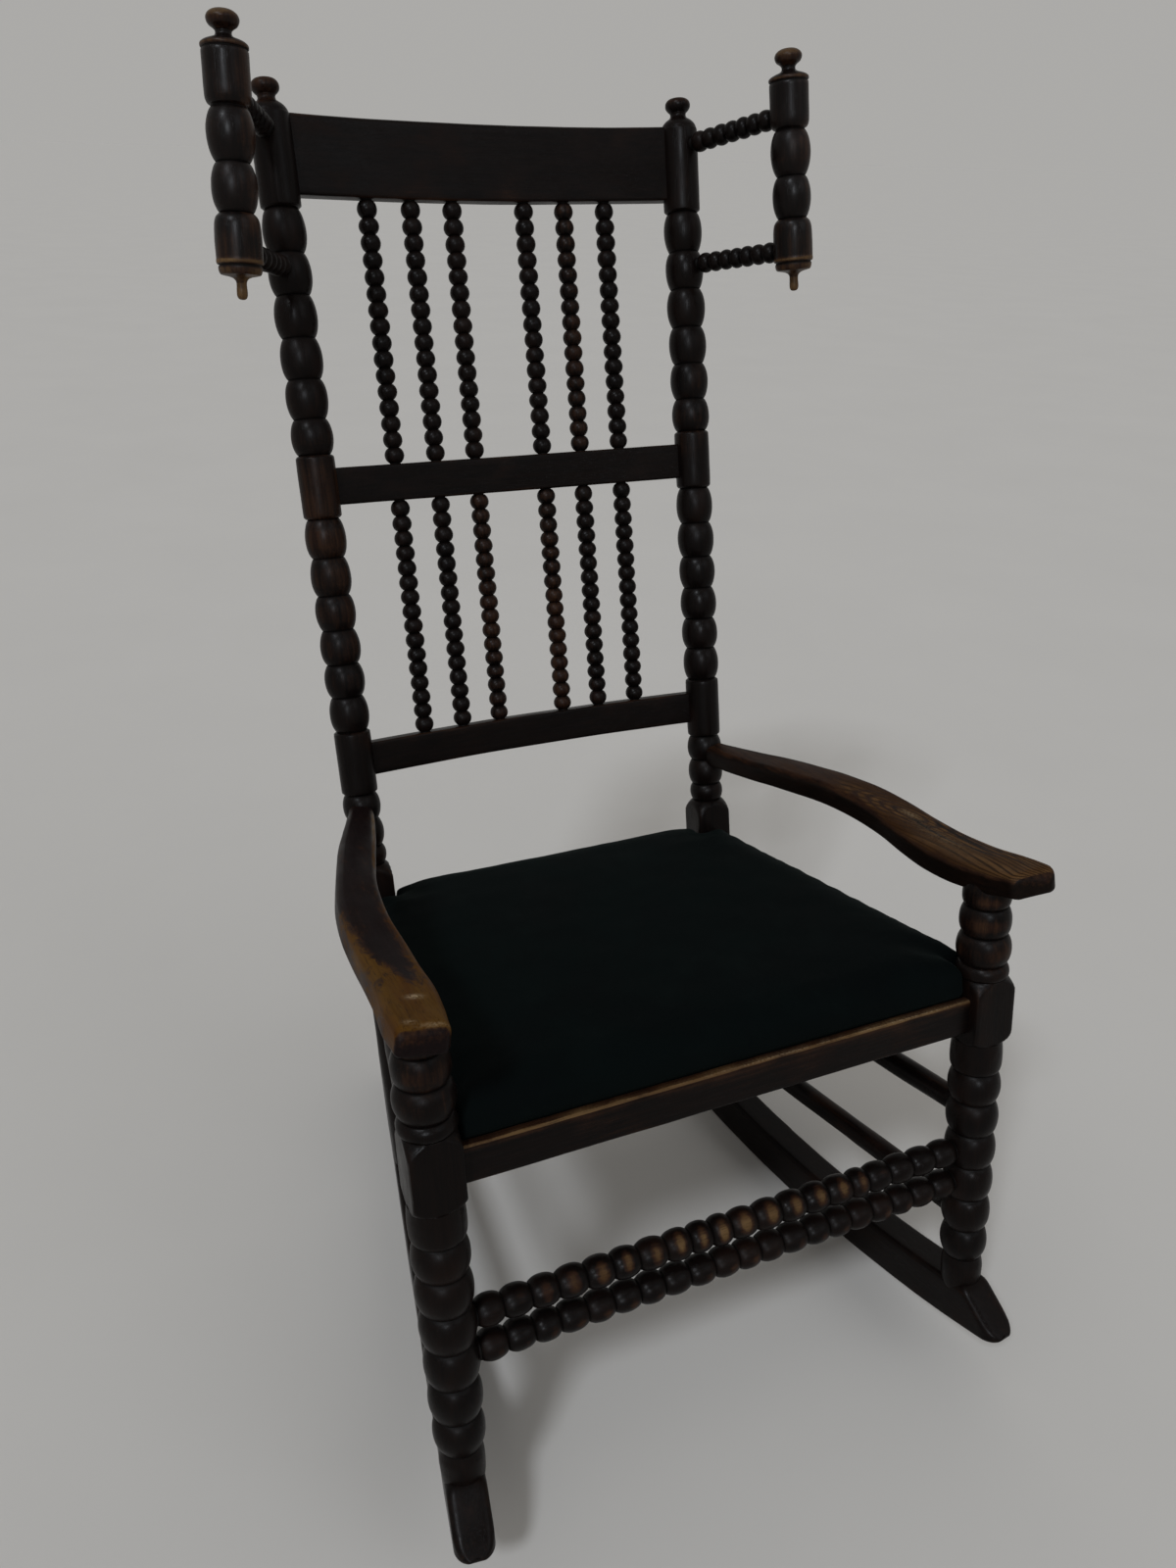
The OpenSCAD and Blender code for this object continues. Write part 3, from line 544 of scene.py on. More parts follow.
for side, word in ((-1, "left"), (1, "right")):
    turned("leg_front_" + word, "front_leg_" + word, tr(LEG_X, 0, 0), leg_profile(11 + side), 96, leg_wear(side), 20 + side,
           mirror=side < 0, radial=square_block(33.5, 98.1, LEG_B, 2.4))


# ---------------------------------------------------------------- back posts
def post_profile(seed):
    p = Profile(seed)
    p.curve([(14.6, -246), (16.2, -205), (17.6, -120), (17.8, 0), (17.2, 30), (16.8, 37.5)], 5)
    for z, r in ((37.6, 17.2), (38.4, 19), (40, 21.6), (42, 23.6), (45, 25.6), (50, 28), (60, 29), (90, 29), (124, 29), (131, 28.2), (136, 26.6),
                 (140, 24.6), (143.4, 22.4), (146.2, 20.2), (148.2, 18.2), (149.2, 17.0)):
        p.pt(r, z)
    p.bead(149.4, 169.2, 15.4, 19.1, 15)
    p.bead(169.2, 198.7, 14.9, 19.9, 15)
    p.bead(198.7, 227, 14.9, 19.7, 15)
    p.rows.append((15.2, 227, 1, p.bead_no, 0))
    p.bead_no += 1
    p.curve([(16.2, 227.3), (17.8, 229), (18.6, 233), (18.7, 262), (18.6, 289), (17.8, 292.6), (16.0, 294.1)], 4)
    p.beads(LOWZ, 14.9, 20.1, 16)
    p.bead_no += 1
    p.curve([(16.0, 508.4), (17.8, 510), (18.6, 514), (18.7, 538), (18.6, 563), (17.8, 567), (16.0, 568.4)], 4)
    p.beads(UPZ, 14.9, 20.1, 16)
    p.bead_no += 1
    p.curve([(16.0, 787.7), (18.0, 789.6), (18.7, 794), (18.8, 830), (18.7, 862), (18.1, 867), (16.6, 870.6), (14.0, 873.6), (11.2, 875.6),
             (9.0, 877.2), (7.9, 879.6), (8.3, 881.8)], 4)
    p.curve([(8.3, 882.0), (10.4, 883.8), (12.3, 886.4), (12.7, 889.2), (11.9, 892.0), (9.4, 894.4), (5.0, 895.5), (1.2, 895.7)], 5)
    return p


def post_wear(side):
    def f(C, i):
        z, n = i["z"], i["n"]
        w = 0.08 + 0.08 * (i["t"] > 0.25) * (i["t"] < 0.75) + 0.09 * wob(C, 90, 15 + side)
        # the post on the picture's left is redder at half height, where a hand takes it
        if side < 0:
            w = w + 0.26 * gauss(z, 490, 130) * np.clip(0.5 - n[:, 1], 0, 1)
        else:
            w = w + 0.12 * gauss(z, 560, 50)
        w = w + (0.10 + 0.24 * np.clip((z - 887) / 5, 0, 1)) * (z > 872)
        blk = (z > 42) & (z < 146)
        w = w + 0.22 * blk * (np.abs(np.cos(2 * i["th"])) < 0.16)
        return w

    return f


for side, word in ((-1, "left"), (1, "right")):
    turned("post_back_" + word, "back_post_" + word, POST_AXIS, post_profile(31 + side), 72, post_wear(side), 40 + side,
           mirror=side < 0, radial=square_block(37.5, 149.3, POST_B, 3.2))


# ---------------------------------------------------------------- lofted boards
def round_poly(pts, radii, n=4):
    """A polygon with each corner rounded."""
    out = []
    m = len(pts)
    for i in range(m):
        p0, p1, p2 = (np.array(pts[(i + k) % m], float) for k in (-1, 0, 1))
        r = radii[i] if isinstance(radii, (list, tuple)) else radii
        a, b = (p0 - p1) / np.linalg.norm(p0 - p1), (p2 - p1) / np.linalg.norm(p2 - p1)
        ang = math.acos(max(-1, min(1, float(a @ b))))
        if r <= 0:
            out.append(p1)
            continue
        d = r / math.tan(ang / 2)
        s, e = p1 + a * d, p1 + b * d
        c = p1 + (a + b) / np.linalg.norm(a + b) * (r / math.sin(ang / 2))
        for k in range(n + 1):
            t = k / n
            q = s * (1 - t) + e * t - c
            q = q / np.linalg.norm(q) * r
            out.append(c + q)
    return np.array(out)


def refine(loop, step):
    """Splits the loop's long edges."""
    out = []
    for i in range(len(loop)):
        a, b = loop[i], loop[(i + 1) % len(loop)]
        k = max(1, int(np.linalg.norm(b - a) / step))
        for j in range(k):
            out.append(a + (b - a) * j / k)
    return np.array(out)


def loft(sections):
    """Joins equal closed loops of 3D points into a solid with flat ends."""
    S = np.array(sections)
    n, m = S.shape[:2]
    F = []
    for i in range(n - 1):
        for j in range(m):
            k = (j + 1) % m
            F.append((i * m + j, i * m + k, (i + 1) * m + k, (i + 1) * m + j))
    F.append(tuple(reversed(range(m))))
    F.append(tuple(range((n - 1) * m, n * m)))
    return S.reshape(-1, 3), F


# ---------------------------------------------------------------- slats of the back
BOW = 17.0
SR = (205 * 205 + BOW * BOW) / (2 * BOW)


def bow_y(x):
    return 3 + BOW - (SR - math.sqrt(SR * SR - x * x))


def slat(name, node, z, t, seed, top_r, bot_r, half):
    sec = round_poly([(-t / 2, z[0]), (t / 2, z[0]), (t / 2, z[1]), (-t / 2, z[1])], [bot_r, bot_r, top_r, top_r], 5)
    sec = refine(sec, 4.0)
    rows = []
    for k in range(101):
        x = -half + 2 * half * k / 100
        a = math.asin(x / SR)
        c = np.array([x, bow_y(x)])
        rows.append([(c[0] + u * math.sin(a), c[1] + u * math.cos(a), v) for u, v in sec])
    V, F = loft(rows)
    u = np.tile(sec[:, 0], 101)
    v = np.tile(sec[:, 1], 101)
    V[:, 1] += 0.25 * wob(V, 60, seed)
    V[:, 2] += 0.25 * wob(V, 90, seed + 3)
    gco = np.stack([V[:, 1], V[:, 2], V[:, 0]], -1) / 1000 + np.array([hash01(seed, 1), hash01(seed, 2), 0])
    C = app(BACK, V)
    edge = np.maximum(gauss(v, z[1], 2.2), gauss(v, z[0], 2.2)) * (np.abs(u) > t / 2 - 3)
    w = 0.14 + 0.20 * edge + 0.09 * wob(V, 80, seed + 5)
    return piece(name, node, C, F, OAK, "dark_stained_oak", gco=gco, wear=w, groove=0.0, tone=0.25 + 0.15 * wob(V, 130, seed + 7))


slat("rail_crest", "crest_rail", CREST, 18, 51, 4.2, 2.6, 198)
slat("rail_middle", "middle_slat", MID, 16, 54, 2.4, 2.4, 196)
slat("rail_lower", "lower_slat", LOW, 16, 57, 2.4, 2.4, 194)


# ---------------------------------------------------------------- back spindles
def spindle(name, node, x, z0, z1, seed):
    p = Profile(seed)
    p.pt(5.0, z0 - 6).pt(5.6, z0 - 0.4, 1)
    step = (z1 - z0 - 1.2) / 16
    zs = [z0 + 0.6 + step * k + (p.rng.uniform(-0.5, 0.5) if 0 < k < 16 else 0) for k in range(17)]
    p.beads(zs, 5.3, 9.85, 12, 2.0, 0.025)
    p.pt(5.6, z1 + 0.4, 1).pt(5.0, z1 + 6)
    M = BACK @ tr(x, bow_y(x), 0)

    def wear(C, i):
        lift = {72: 0.20, 73: 0.20, 64: 0.13, 74: 0.12}.get(seed, 0.0) + (hash01(seed, "w") - 0.5) * 0.10
        return 0.10 + lift + 0.12 * (i["t"] > 0.25) * (i["t"] < 0.75) * np.clip(-i["n"][:, 1], 0, 1) + 0.08 * wob(C, 60, seed)

    turned(name, node, M, p, 32, wear, seed, rough=0.10)


for k in range(6):
    x = (-SPX[2], -SPX[1], -SPX[0], SPX[0], SPX[1], SPX[2])[k]
    spindle("spindle_upper_%d" % (k + 1), "upper_spindle_%d" % (k + 1), x, MID[1], CREST[0], 60 + k)
    spindle("spindle_lower_%d" % (k + 1), "lower_spindle_%d" % (k + 1), x, LOW[1], MID[0], 70 + k)

# ---------------------------------------------------------------- wings
WP, WD = np.array([263.0, 337.0, 805.0]), np.array([-0.058, -0.020, 1.0])
WL = np.linalg.norm(WD)
WING = tr(*WP) @ rz(math.degrees(math.atan2(WD[1], WD[0]))) @ ry(math.degrees(math.acos(1 / WL))) @ tr(0, 0, -805)


def wing_profile(seed):
    p = Profile(seed)
    p.curve([(1.0, 699.6), (3.0, 700.4), (4.2, 702.6), (4.4, 706), (4.2, 710), (4.5, 713.6), (6.4, 716), (10.0, 717.4), (13.8, 718.2),
             (16.2, 718.9), (17.3, 720.6), (17.8, 723)], 4)
    p.pt(17.7, 724.6, 0.5).pt(17.0, 725.2, 1).pt(17.1, 725.9, 1).pt(18.4, 726.4, 0.2)
    p.curve([(18.9, 727.2), (19.15, 728.6), (19.0, 730), (18.9, 731)], 3)
    p.pt(18.95, 732).pt(19.1, 744).pt(18.9, 753)
    p.curve([(18.8, 754), (18.2, 758.4), (16.8, 762), (14.2, 764.8)], 5)
    p.bead(765, 802, 13.2, 18.8, 18, 2.0)
    p.bead(802, 842, 13.2, 19.2, 18, 2.0)
    p.rows.append((13.8, 842, 1.0, p.bead_no, 0))
    p.bead_no += 1
    p.curve([(14.2, 842.3), (16.6, 843.8), (18.0, 847.2), (18.4, 851), (18.5, 858)], 4)
    p.pt(18.5, 868).pt(18.5, 878).pt(18.4, 880.6)
    p.pt(18.0, 881.2, 0.6).pt(17.6, 881.7, 1).pt(17.7, 882.2, 1).pt(18.4, 882.6, 0.2)
    p.curve([(18.8, 883.2), (18.9, 884.3), (18.5, 885.4), (16.8, 886.8), (13.6, 888.2), (10.2, 889.4), (7.6, 890.7), (6.4, 892.4), (6.6, 894.4)], 4)
    p.curve([(6.6, 894.6), (8.4, 896.4), (11.2, 898.4), (12.7, 901.2), (12.8, 903.8), (11.3, 906.4), (8.0, 908.5), (4.0, 909.4), (1.0, 909.5)], 5)
    return p


def wing_wear(side):
    def f(C, i):
        z, n = i["z"], i["n"]
        w = 0.15 + 0.08 * (i["t"] > 0.25) * (i["t"] < 0.75) + 0.10 * wob(C, 40, 80 + side) + 0.10 * (z < 765)
        # the rims are rubbed, and so are the knob's crown and the drop below
        w = w + 0.46 * gauss(z, 884.2, 1.7) + 0.34 * gauss(z, 906.5, 4.5) + 0.22 * (z > 895)
        w = w + 0.52 * gauss(z, 728.4, 1.8) + 0.26 * (z < 724) + 0.2 * (z < 712)
        # redder and paler on the side facing +X, the picture's right, on both wings alike
        w = w + 0.24 * np.clip(n[:, 0] * 1.2, 0, 1) * (z < 882)
        return w

    return f


ENDS = []
for zp, zw in ((848, 855.5), (735, 737.5)):
    ENDS.append((np.array([px(zp), py(zp), zp]), WP + (zw - WP[2]) * WD))
for side, word in ((-1, "left"), (1, "right")):
    turned("wing_" + word, "wing_post_" + word, WING, wing_profile(90 + side), 64, wing_wear(side), 94 + side, mirror=side < 0, mat=OAK_WAXED)
    for k, lab in ((0, "upper"), (1, "lower")):
        M, L = from_to(*ENDS[k])
        p = Profile(100 + k + side * 3)
        p.pt(6, 12).pt(6.4, 20.2, 1)
        step = (L - 40.9) / 7
        zs = [20.8 + step * j + (p.rng.uniform(-0.5, 0.5) if 0 < j < 7 else 0) for j in range(8)]
        p.beads(zs, 6.0, 9.8, 12, 2.0, 0.02)
        p.pt(6.4, L - 19.5, 1).pt(6, L - 12)
        turned("wing_spindle_%s_%s_v" % (lab, word), "wing_spindle_%s_%s" % (lab, word), M, p, 36,
               lambda C, i: 0.05 + 0.06 * (i["t"] > 0.25) * (i["t"] < 0.75) + 0.1 * wob(C, 40, 3), 110 + k + side * 3, mirror=side < 0)


# ---------------------------------------------------------------- stretchers
def front_stretcher(name, node, z, seed, worn):
    rng = random.Random(seed)
    L = LEG_X - 24.5 + 1.5
    w = [1 + rng.uniform(-0.07, 0.07) for _ in range(20)]
    if worn:
        for k in (8, 9, 15):
            w[k] *= 0.82
    s = 2 * L / sum(w)
    zs = [-L]
    for v in w:
        zs.append(zs[-1] + v * s)
    p = Profile(seed)
    p.pt(9.6, -L - 6).pt(10.0, -L - 0.3, 1)
    p.beads(zs, 9.2, 13.7, 16, 2.2, 0.02)
    p.pt(10.0, L + 0.3, 1).pt(9.6, L + 6)
    M = tr(0, 0, z) @ ry(90)

    def wear(C, i):
        n, b, t = i["n"], i["bead"].astype(int), i["t"]
        ang = np.degrees(np.arctan2(n[:, 2], -n[:, 1]))
        base = 0.10 + 0.09 * wob(C, 50, seed)
        if worn:
            amp = np.array([0.0] + [0.06, 0.16, 0.46, 0.62, 0.74, 0.76, 0.66, 0.74, 0.70, 0.78, 0.76, 0.84, 0.76, 0.78, 0.76, 0.62, 0.20, 0.08, 0.05, 0.03, 0, 0])[b]
            cx = np.array([0.5 + (hash01(seed, "c", k) - 0.5) * 0.12 for k in range(b.max() + 1)])[b]
            sx = np.array([0.22 + hash01(seed, "s", k) * 0.06 for k in range(b.max() + 1)])[b]
            ca = np.array([34 + (hash01(seed, "d", k) - 0.5) * 16 for k in range(b.max() + 1)])[b]
            oval = ((t - cx) / sx) ** 2 + ((ang - ca) / 44) ** 2
            return base + amp * np.exp(-oval ** 1.5)
        amp = np.array([0.0] + [0.22 + 0.30 * hash01(seed, "a", k) for k in range(22)])[b]
        return base + amp * gauss(t, 0.66, 0.20) * gauss(ang, -4, 26)

    turned(name, node, M, p, 48, wear, seed, rough=0.16)


front_stretcher("stretcher_front_upper", "front_stretcher_upper", -85.4, 121, True)
front_stretcher("stretcher_front_lower", "front_stretcher_lower", -120.3, 122, False)


def dowel(name, node, p0, p1, a, b, seed, mirror=False, taper=0.0):
    M, L = from_to(p0, p1)
    p = Profile(seed)
    p.pt(8.4, a - 6).pt(10.8 - taper, a)
    n = 24
    for k in range(n + 1):
        t = k / n
        p.pt(11.35 - taper + taper * math.sin(math.pi * t) + 0.12 * math.sin(t * 19 + seed), a + 0.6 + (L - a - b - 1.2) * t)
    p.pt(10.8 - taper, L - b).pt(8.4, L - b + 6)
    # paler along the upward-facing side of each bar
    turned(name, node, M, p, 40, lambda C, i: 0.14 + 0.22 * np.clip(i["n"][:, 2], 0, 1) + 0.10 * wob(C, 80, seed), seed, mirror=mirror, rough=0.22)


for side, word in ((-1, "left"), (1, "right")):
    dowel("stretcher_side_upper_" + word, "side_stretcher_upper_" + word, (LEG_X, 0, -48), (px(-43), py(-43), -43), 19, 15, 130 + side, side < 0)
    dowel("stretcher_side_lower_" + word, "side_stretcher_lower_" + word, (LEG_X, 0, -164), (px(-151), py(-151), -151), 19, 15, 134 + side, side < 0)
dowel("stretcher_back", "rear_stretcher", (-px(-100), py(-100), -100), (px(-100), py(-100), -100), 15, 15, 138, taper=0.8)

# ---------------------------------------------------------------- rockers
SIDE = math.atan((LEG_X - px(-250)) / py(-250))
RR, RH, RT, RS, RZ, TOE, HEEL = 1200.0, 46.0, 35.0, 114.0, -289.5, 55.8, 600.0


def rocker(word, side, seed):
    rm = RR - RH / 2
    cz = RZ + RR
    a0 = math.asin((TOE + RS) / rm)
    a1 = math.asin((HEEL - 2 - RS) / rm)
    arc = (a0 + a1) * rm
    k, near = 0.0, []
    while k < 40:
        near.append(k)
        k += 0.5 + k * 0.07
    dist = near + list(np.linspace(k, arc - k, 150)) + [arc - t for t in reversed(near)]
    slope = math.tan(math.radians(42.5))
    rows, S, U, Vv, TT = [], [], [], [], []
    for d in dist:
        a = -a0 + d / rm
        e = min(d, arc - d)
        w = RT
        lo, hi = -RH / 2, RH / 2
        if d < arc / 2:
            # the toe: its top slopes down from the foot of the leg, its end is a blunt half round in plan
            if e < 90:
                cut = rm - (cz - slope * RS + 232.5 - slope * 14) / (math.cos(a) + slope * math.sin(a))
                k0 = 5.0
                h = max(0.0, min(1.0, 0.5 + 0.5 * (cut - hi) / k0))
                hi = cut * (1 - h) + hi * h - k0 * h * (1 - h)
            c0 = 17.0
            if e < c0:
                w -= 2 * 0.95 * (c0 - math.sqrt(c0 * c0 - (c0 - e) ** 2))
            if e < 5.5:
                lo += 0.8 * (5.5 - math.sqrt(5.5 ** 2 - (5.5 - e) ** 2))
                hi -= 0.25 * (5.5 - math.sqrt(5.5 ** 2 - (5.5 - e) ** 2))
            hi = max(hi, lo + 1.2)
            rt, rb = 5.0 + 3.0 * max(0.0, min(1.0, (70 - e) / 30)), 3.0
        else:
            c0, v0 = 12.0, 23.0
            if e < c0:
                w -= 2 * 0.8 * (c0 - math.sqrt(c0 * c0 - (c0 - e) ** 2))
            if e < v0:
                q = v0 - math.sqrt(v0 * v0 - (v0 - e) ** 2)
                hi -= 0.86 * q
                lo += 0.86 * q
            rt, rb = 4.2, 2.6
        rt = min(rt, (hi - lo) / 2.4, w / 2.4)
        rb = min(rb, (hi - lo) / 2.4, w / 2.4)
        sec = round_poly([(-w / 2, lo), (w / 2, lo), (w / 2, hi), (-w / 2, hi)], [rb, rb, rt, rt], 5)
        pts = []
        for j in range(len(sec)):
            p, q = sec[j], sec[(j + 1) % len(sec)]
            pts.append(p)
            if j % 6 == 5:
                for g in range(1, 5):
                    pts.append(p + (q - p) * g / 5)
        row = []
        for u, v in pts:
            r = rm - v
            row.append((RS + r * math.sin(a), cz - r * math.cos(a), u))
        rows.append(row)
        S += [d] * len(pts)
        U += [u for u, v in pts]
        Vv += [v for u, v in pts]
        TT += [(v - lo) / (hi - lo) for u, v in pts]
    A = np.array(rows)
    flat = A.reshape(-1, 3)
    d = np.array([-math.sin(SIDE), math.cos(SIDE), 0])
    nrm = np.array([math.cos(SIDE), math.sin(SIDE), 0])
    C = np.array([LEG_X, 0, 0]) + flat[:, 0:1] * d + flat[:, 2:3] * nrm + flat[:, 1:2] * np.array([0, 0, 1])
    m = A.shape[1]
    _, F = loft(C.reshape(len(rows), m, 3))
    C = C + nrm * (0.3 * wob(C, 90, seed))[:, None]
    S, U, Vv, TT = np.array(S), np.array(U), np.array(Vv), np.array(TT)
    gco = np.stack([flat[:, 2], flat[:, 1], flat[:, 0]], -1) / 1000 + np.array([hash01(seed, 1), hash01(seed, 2), 0])
    if side < 0:
        C = C * np.array([-1, 1, 1])
    edge = gauss(np.abs(U), RT / 2, 3.0) * (TT > 0.75)
    w = 0.09 + 0.13 * edge + 0.16 * np.clip(1 - S / 55, 0, 1) + 0.08 * wob(C, 60, seed) + 0.30 * (Vv < -RH / 2 + 1.2)
    piece("rocker_%s_v" % word, "rocker_" + word, C, F, OAK, "dark_stained_oak", gco=gco, wear=w, groove=0.0, tone=0.3 + 0.2 * wob(C, 140, seed))


rocker("left", -1, 141)
rocker("right", 1, 142)

# ---------------------------------------------------------------- arms
AY = [-48, -20, 20, 60, 100, 140, 180, 220, 260, 300, 340, 380, 406]
AC = [267.2, 265.5, 262.2, 262.2, 263, 263.7, 261, 254.2, 245, 235.6, 225.1, 215, 209]
AW = [40.5, 45, 45.5, 43.6, 42.6, 40, 38.4, 36.1, 36, 35.6, 33, 29, 25]
AT = [213, 211, 208.8, 208.4, 210.8, 215, 219, 221, 221, 219.6, 218, 217.2, 217]
AB = [191.5, 188, 185, 184, 185.5, 189.5, 193.9, 196.6, 197.4, 197, 196.2, 195.6, 195.4]
TILT = math.radians(9.6)


def cr(a, y):
    n = len(AY) - 1
    i = max(0, min(n - 1, int(np.searchsorted(AY, y)) - 1))
    t = (y - AY[i]) / (AY[i + 1] - AY[i])
    p0, p1, p2, p3 = a[max(i - 1, 0)], a[i], a[i + 1], a[min(i + 2, n)]
    return 0.5 * (2 * p1 + (p2 - p0) * t + (2 * p0 - 5 * p1 + 4 * p2 - p3) * t * t + (3 * p1 - p0 - 3 * p2 + p3) * t ** 3)


def arm(word, side, seed):
    """An S-curved board: its top leans inward, and its front end rolls down to a low face."""
    Y0, Y1 = -55.0, 406.0
    ys, k = [], 0.0
    while k < 18:
        ys.append(Y0 + k)
        k += 0.35 + k * 0.10
    ys += list(np.linspace(Y0 + k, Y1, 170))
    # the corners of the front end in plan, inner and outer, differ between the two arms
    ri, ro = (8.0, 5.0) if side < 0 else (9.0, 13.0)
    rows, U, Vt, YY = [], [], [], []
    for y in ys:
        yy = max(y, -48)
        c, w, zt, zb = cr(AC, yy), cr(AW, yy), cr(AT, yy), cr(AB, yy)
        s = y - Y0

        def cut(r):
            return r - math.sqrt(max(r * r - (r - s) ** 2, 0)) if s < r else 0.0

        ui, uo = -w / 2 + 0.9 * cut(ri), w / 2 - 0.9 * cut(ro)
        hi, lo = zt - 0.86 * cut(10.0), zb + 0.9 * cut(3.0)
        if side > 0:
            uo += 1.6 * math.exp(-((y + 45) / 30) ** 2)
            ui -= 2.0 * math.exp(-((y - 45) / 45) ** 2)
            lo -= 2.0 * math.exp(-((y - 70) / 40) ** 2)
        rt = min(6.4, (hi - lo) / 2.3, (uo - ui) / 2.4)
        rb = min(4.0, (hi - lo) / 2.3, (uo - ui) / 2.4)
        sec = round_poly([(ui, lo), (uo, lo), (uo, hi), (ui, hi)], [rb, rb, rt, rt], 6)
        # close points along the top, for the wear and the grain's marks
        pts = []
        m = len(sec)
        for j in range(m):
            a, b = sec[j], sec[(j + 1) % m]
            pts.append(a)
            if j % 7 == 6:  # the straight run after each rounded corner
                q = (14, 5, 44, 5)[j // 7]
                for g in range(1, q):
                    pts.append(a + (b - a) * g / q)
        pts = np.array(pts)
        um, uh = (ui + uo) / 2, max((uo - ui) / 2, 1)
        crown = 1.1 * (1 - np.clip(np.abs(pts[:, 0] - um) / uh, 0, 1) ** 2) * (pts[:, 1] > (hi + lo) / 2)
        dz = crown * min(1, s / 10)
        mid = (zt + zb) / 2
        for (u, v), e in zip(pts, dz):
            h = v + e - mid
            # the front of the arm on the picture's right is cut back on its inner side
            back = 9.0 * (1 - (u - um) / uh) / 2 * max(0.0, min(1.0, (-14 - y) / 40)) if side > 0 else 0.0
            rows.append((c + u * math.cos(TILT) - h * math.sin(TILT), y + back, mid + u * math.sin(TILT) + h * math.cos(TILT)))
            U.append((u - um) / uh)
            Vt.append((v - lo) / (hi - lo))
            YY.append(y)
    C = np.array(rows)
    m = len(rows) // len(ys)
    _, F = loft(C.reshape(len(ys), m, 3))
    C[:, 0] += 0.35 * wob(C, 110, seed)
    C[:, 2] += 0.30 * wob(C, 80, seed + 2)
    U, Vt, YY = np.array(U), np.array(Vt), np.array(YY)
    top = np.clip((Vt - 0.72) / 0.2, 0, 1)
    # grain runs along the board, which was sawn straight
    gco = np.stack([C[:, 0] - 252, C[:, 2] - 214, C[:, 1]], -1) / 1000
    chip = np.zeros(len(C))
    if side < 0:
        # bare in front and along both edges; the dark finish is left as a tongue from the back to the front third
        ty = [22, 26, 33, 39, 47, 61, 82, 101, 116, 130, 146, 165, 180, 230, 406]
        t_in = np.interp(YY, ty, [-0.09, -0.18, -0.34, -0.42, -0.49, -0.54, -0.60, -0.64, -0.66, -0.68, -0.72, -0.76, -0.82, -1.1, -1.3])
        t_out = np.interp(YY, ty, [-0.09, -0.04, 0.04, 0.10, 0.20, 0.44, 0.64, 0.72, 0.78, 0.82, 0.90, 1.06, 1.3, 1.5, 1.5])
        half = np.interp(YY, AY, AW) / 2
        inside = np.minimum(U - t_in, t_out - U) * half
        tongue = np.clip(inside / 13.0 + 0.5, 0, 1) * np.clip((YY - 8) / 12, 0, 1)
        w = 0.97 - 0.90 * tongue
        # a pale rubbed arris along the inner edge at the back
        w = w + 0.90 * gauss(U, -0.86, 0.11) * np.clip((YY - 205) / 50, 0, 1) * np.clip((396 - YY) / 30, 0, 1) * top
        w = w + 0.16 * gauss(U, 0.9, 0.25) * np.clip((YY - 165) / 20, 0, 1)
        # dark red front face and under sides
        w = w - 0.30 * (1 - np.clip(Vt * 1.5, 0, 1)) - 0.56 * np.clip((-50.6 - YY) / 2.2, 0, 1) - 0.10 * (1 - top)
        chip = gauss(YY, -4, 3.2) * gauss(U, -0.08, 0.24) * top + 0.45 * gauss(YY, -44, 2.5) * gauss(U, 0.45, 0.2) * top
        chip = chip + 0.35 * gauss(YY, -49, 1.8) * gauss(U, -0.35, 0.5) * top
        chip = chip + 0.62 * gauss(U, -0.84, 0.075) * np.clip((YY - 285) / 60, 0, 1) * np.clip((398 - YY) / 14, 0, 1) * top
    else:
        w = 0.94 - 0.34 * np.clip((YY - 145) / 85, 0, 1) - 0.12 * np.clip((YY - 260) / 100, 0, 1)
        w = w * (0.20 + 0.80 * top)
        w = w - 0.16 * gauss(U, -1.0, 0.25) * top - 0.22 * gauss(U, 0.9, 0.3) * np.clip((YY - 60) / 60, 0, 1) * top
        # long dark shakes in the front half, nearer the outer edge
        for u0, u1, y0, y1 in ((0.60, 0.74, -24, 80), (0.34, 0.46, -34, 62), (0.20, 0.18, -12, 46), (0.50, 0.60, 10, 96), (0.05, 0.0, 30, 110)):
            f = (YY - y0) / (y1 - y0)
            w = w - 0.75 * gauss(U, u0 + (u1 - u0) * f, 0.050) * np.clip((YY - y0) / 14, 0, 1) * np.clip((y1 - YY) / 14, 0, 1) * top
        # the eye of a growth ring, pale with dark ovals round it
        q = np.sqrt(((YY - 116) / 20) ** 2 + ((U - 0.14 + (YY - 116) * 0.008) / 0.26) ** 2)
        w = w + 0.25 * gauss(q, 0, 0.6) * top
        chip = 0.26 * gauss(q, 0, 0.62) * top + 0.10 * gauss(YY, 60, 46) * gauss(U, -0.05, 0.4) * top
        for k in range(4):
            w = w - (0.52 - 0.09 * k) * gauss(q, 1.0 + 0.80 * k, 0.20) * top
        w = np.where(YY < -52, w * 0.45, w)
    w = w + 0.05 * wob(C, 50, seed)
    if side < 0:
        C = C * np.array([-1, 1, 1])
    piece("armrest_" + word, "arm_" + word, C, F, ARM_L if side < 0 else ARM_R, "worn_oak", gco=gco, wear=w, groove=0.0, tone=0.45, chip=chip,
          rag=np.clip((YY + 36) / 14, 0.12, 1))


arm("left", -1, 151)
arm("right", 1, 152)

# ---------------------------------------------------------------- seat rails
RAIL_H, RAIL_T, LIP, REB = 34.0, 22.0, 9.0, 13.0


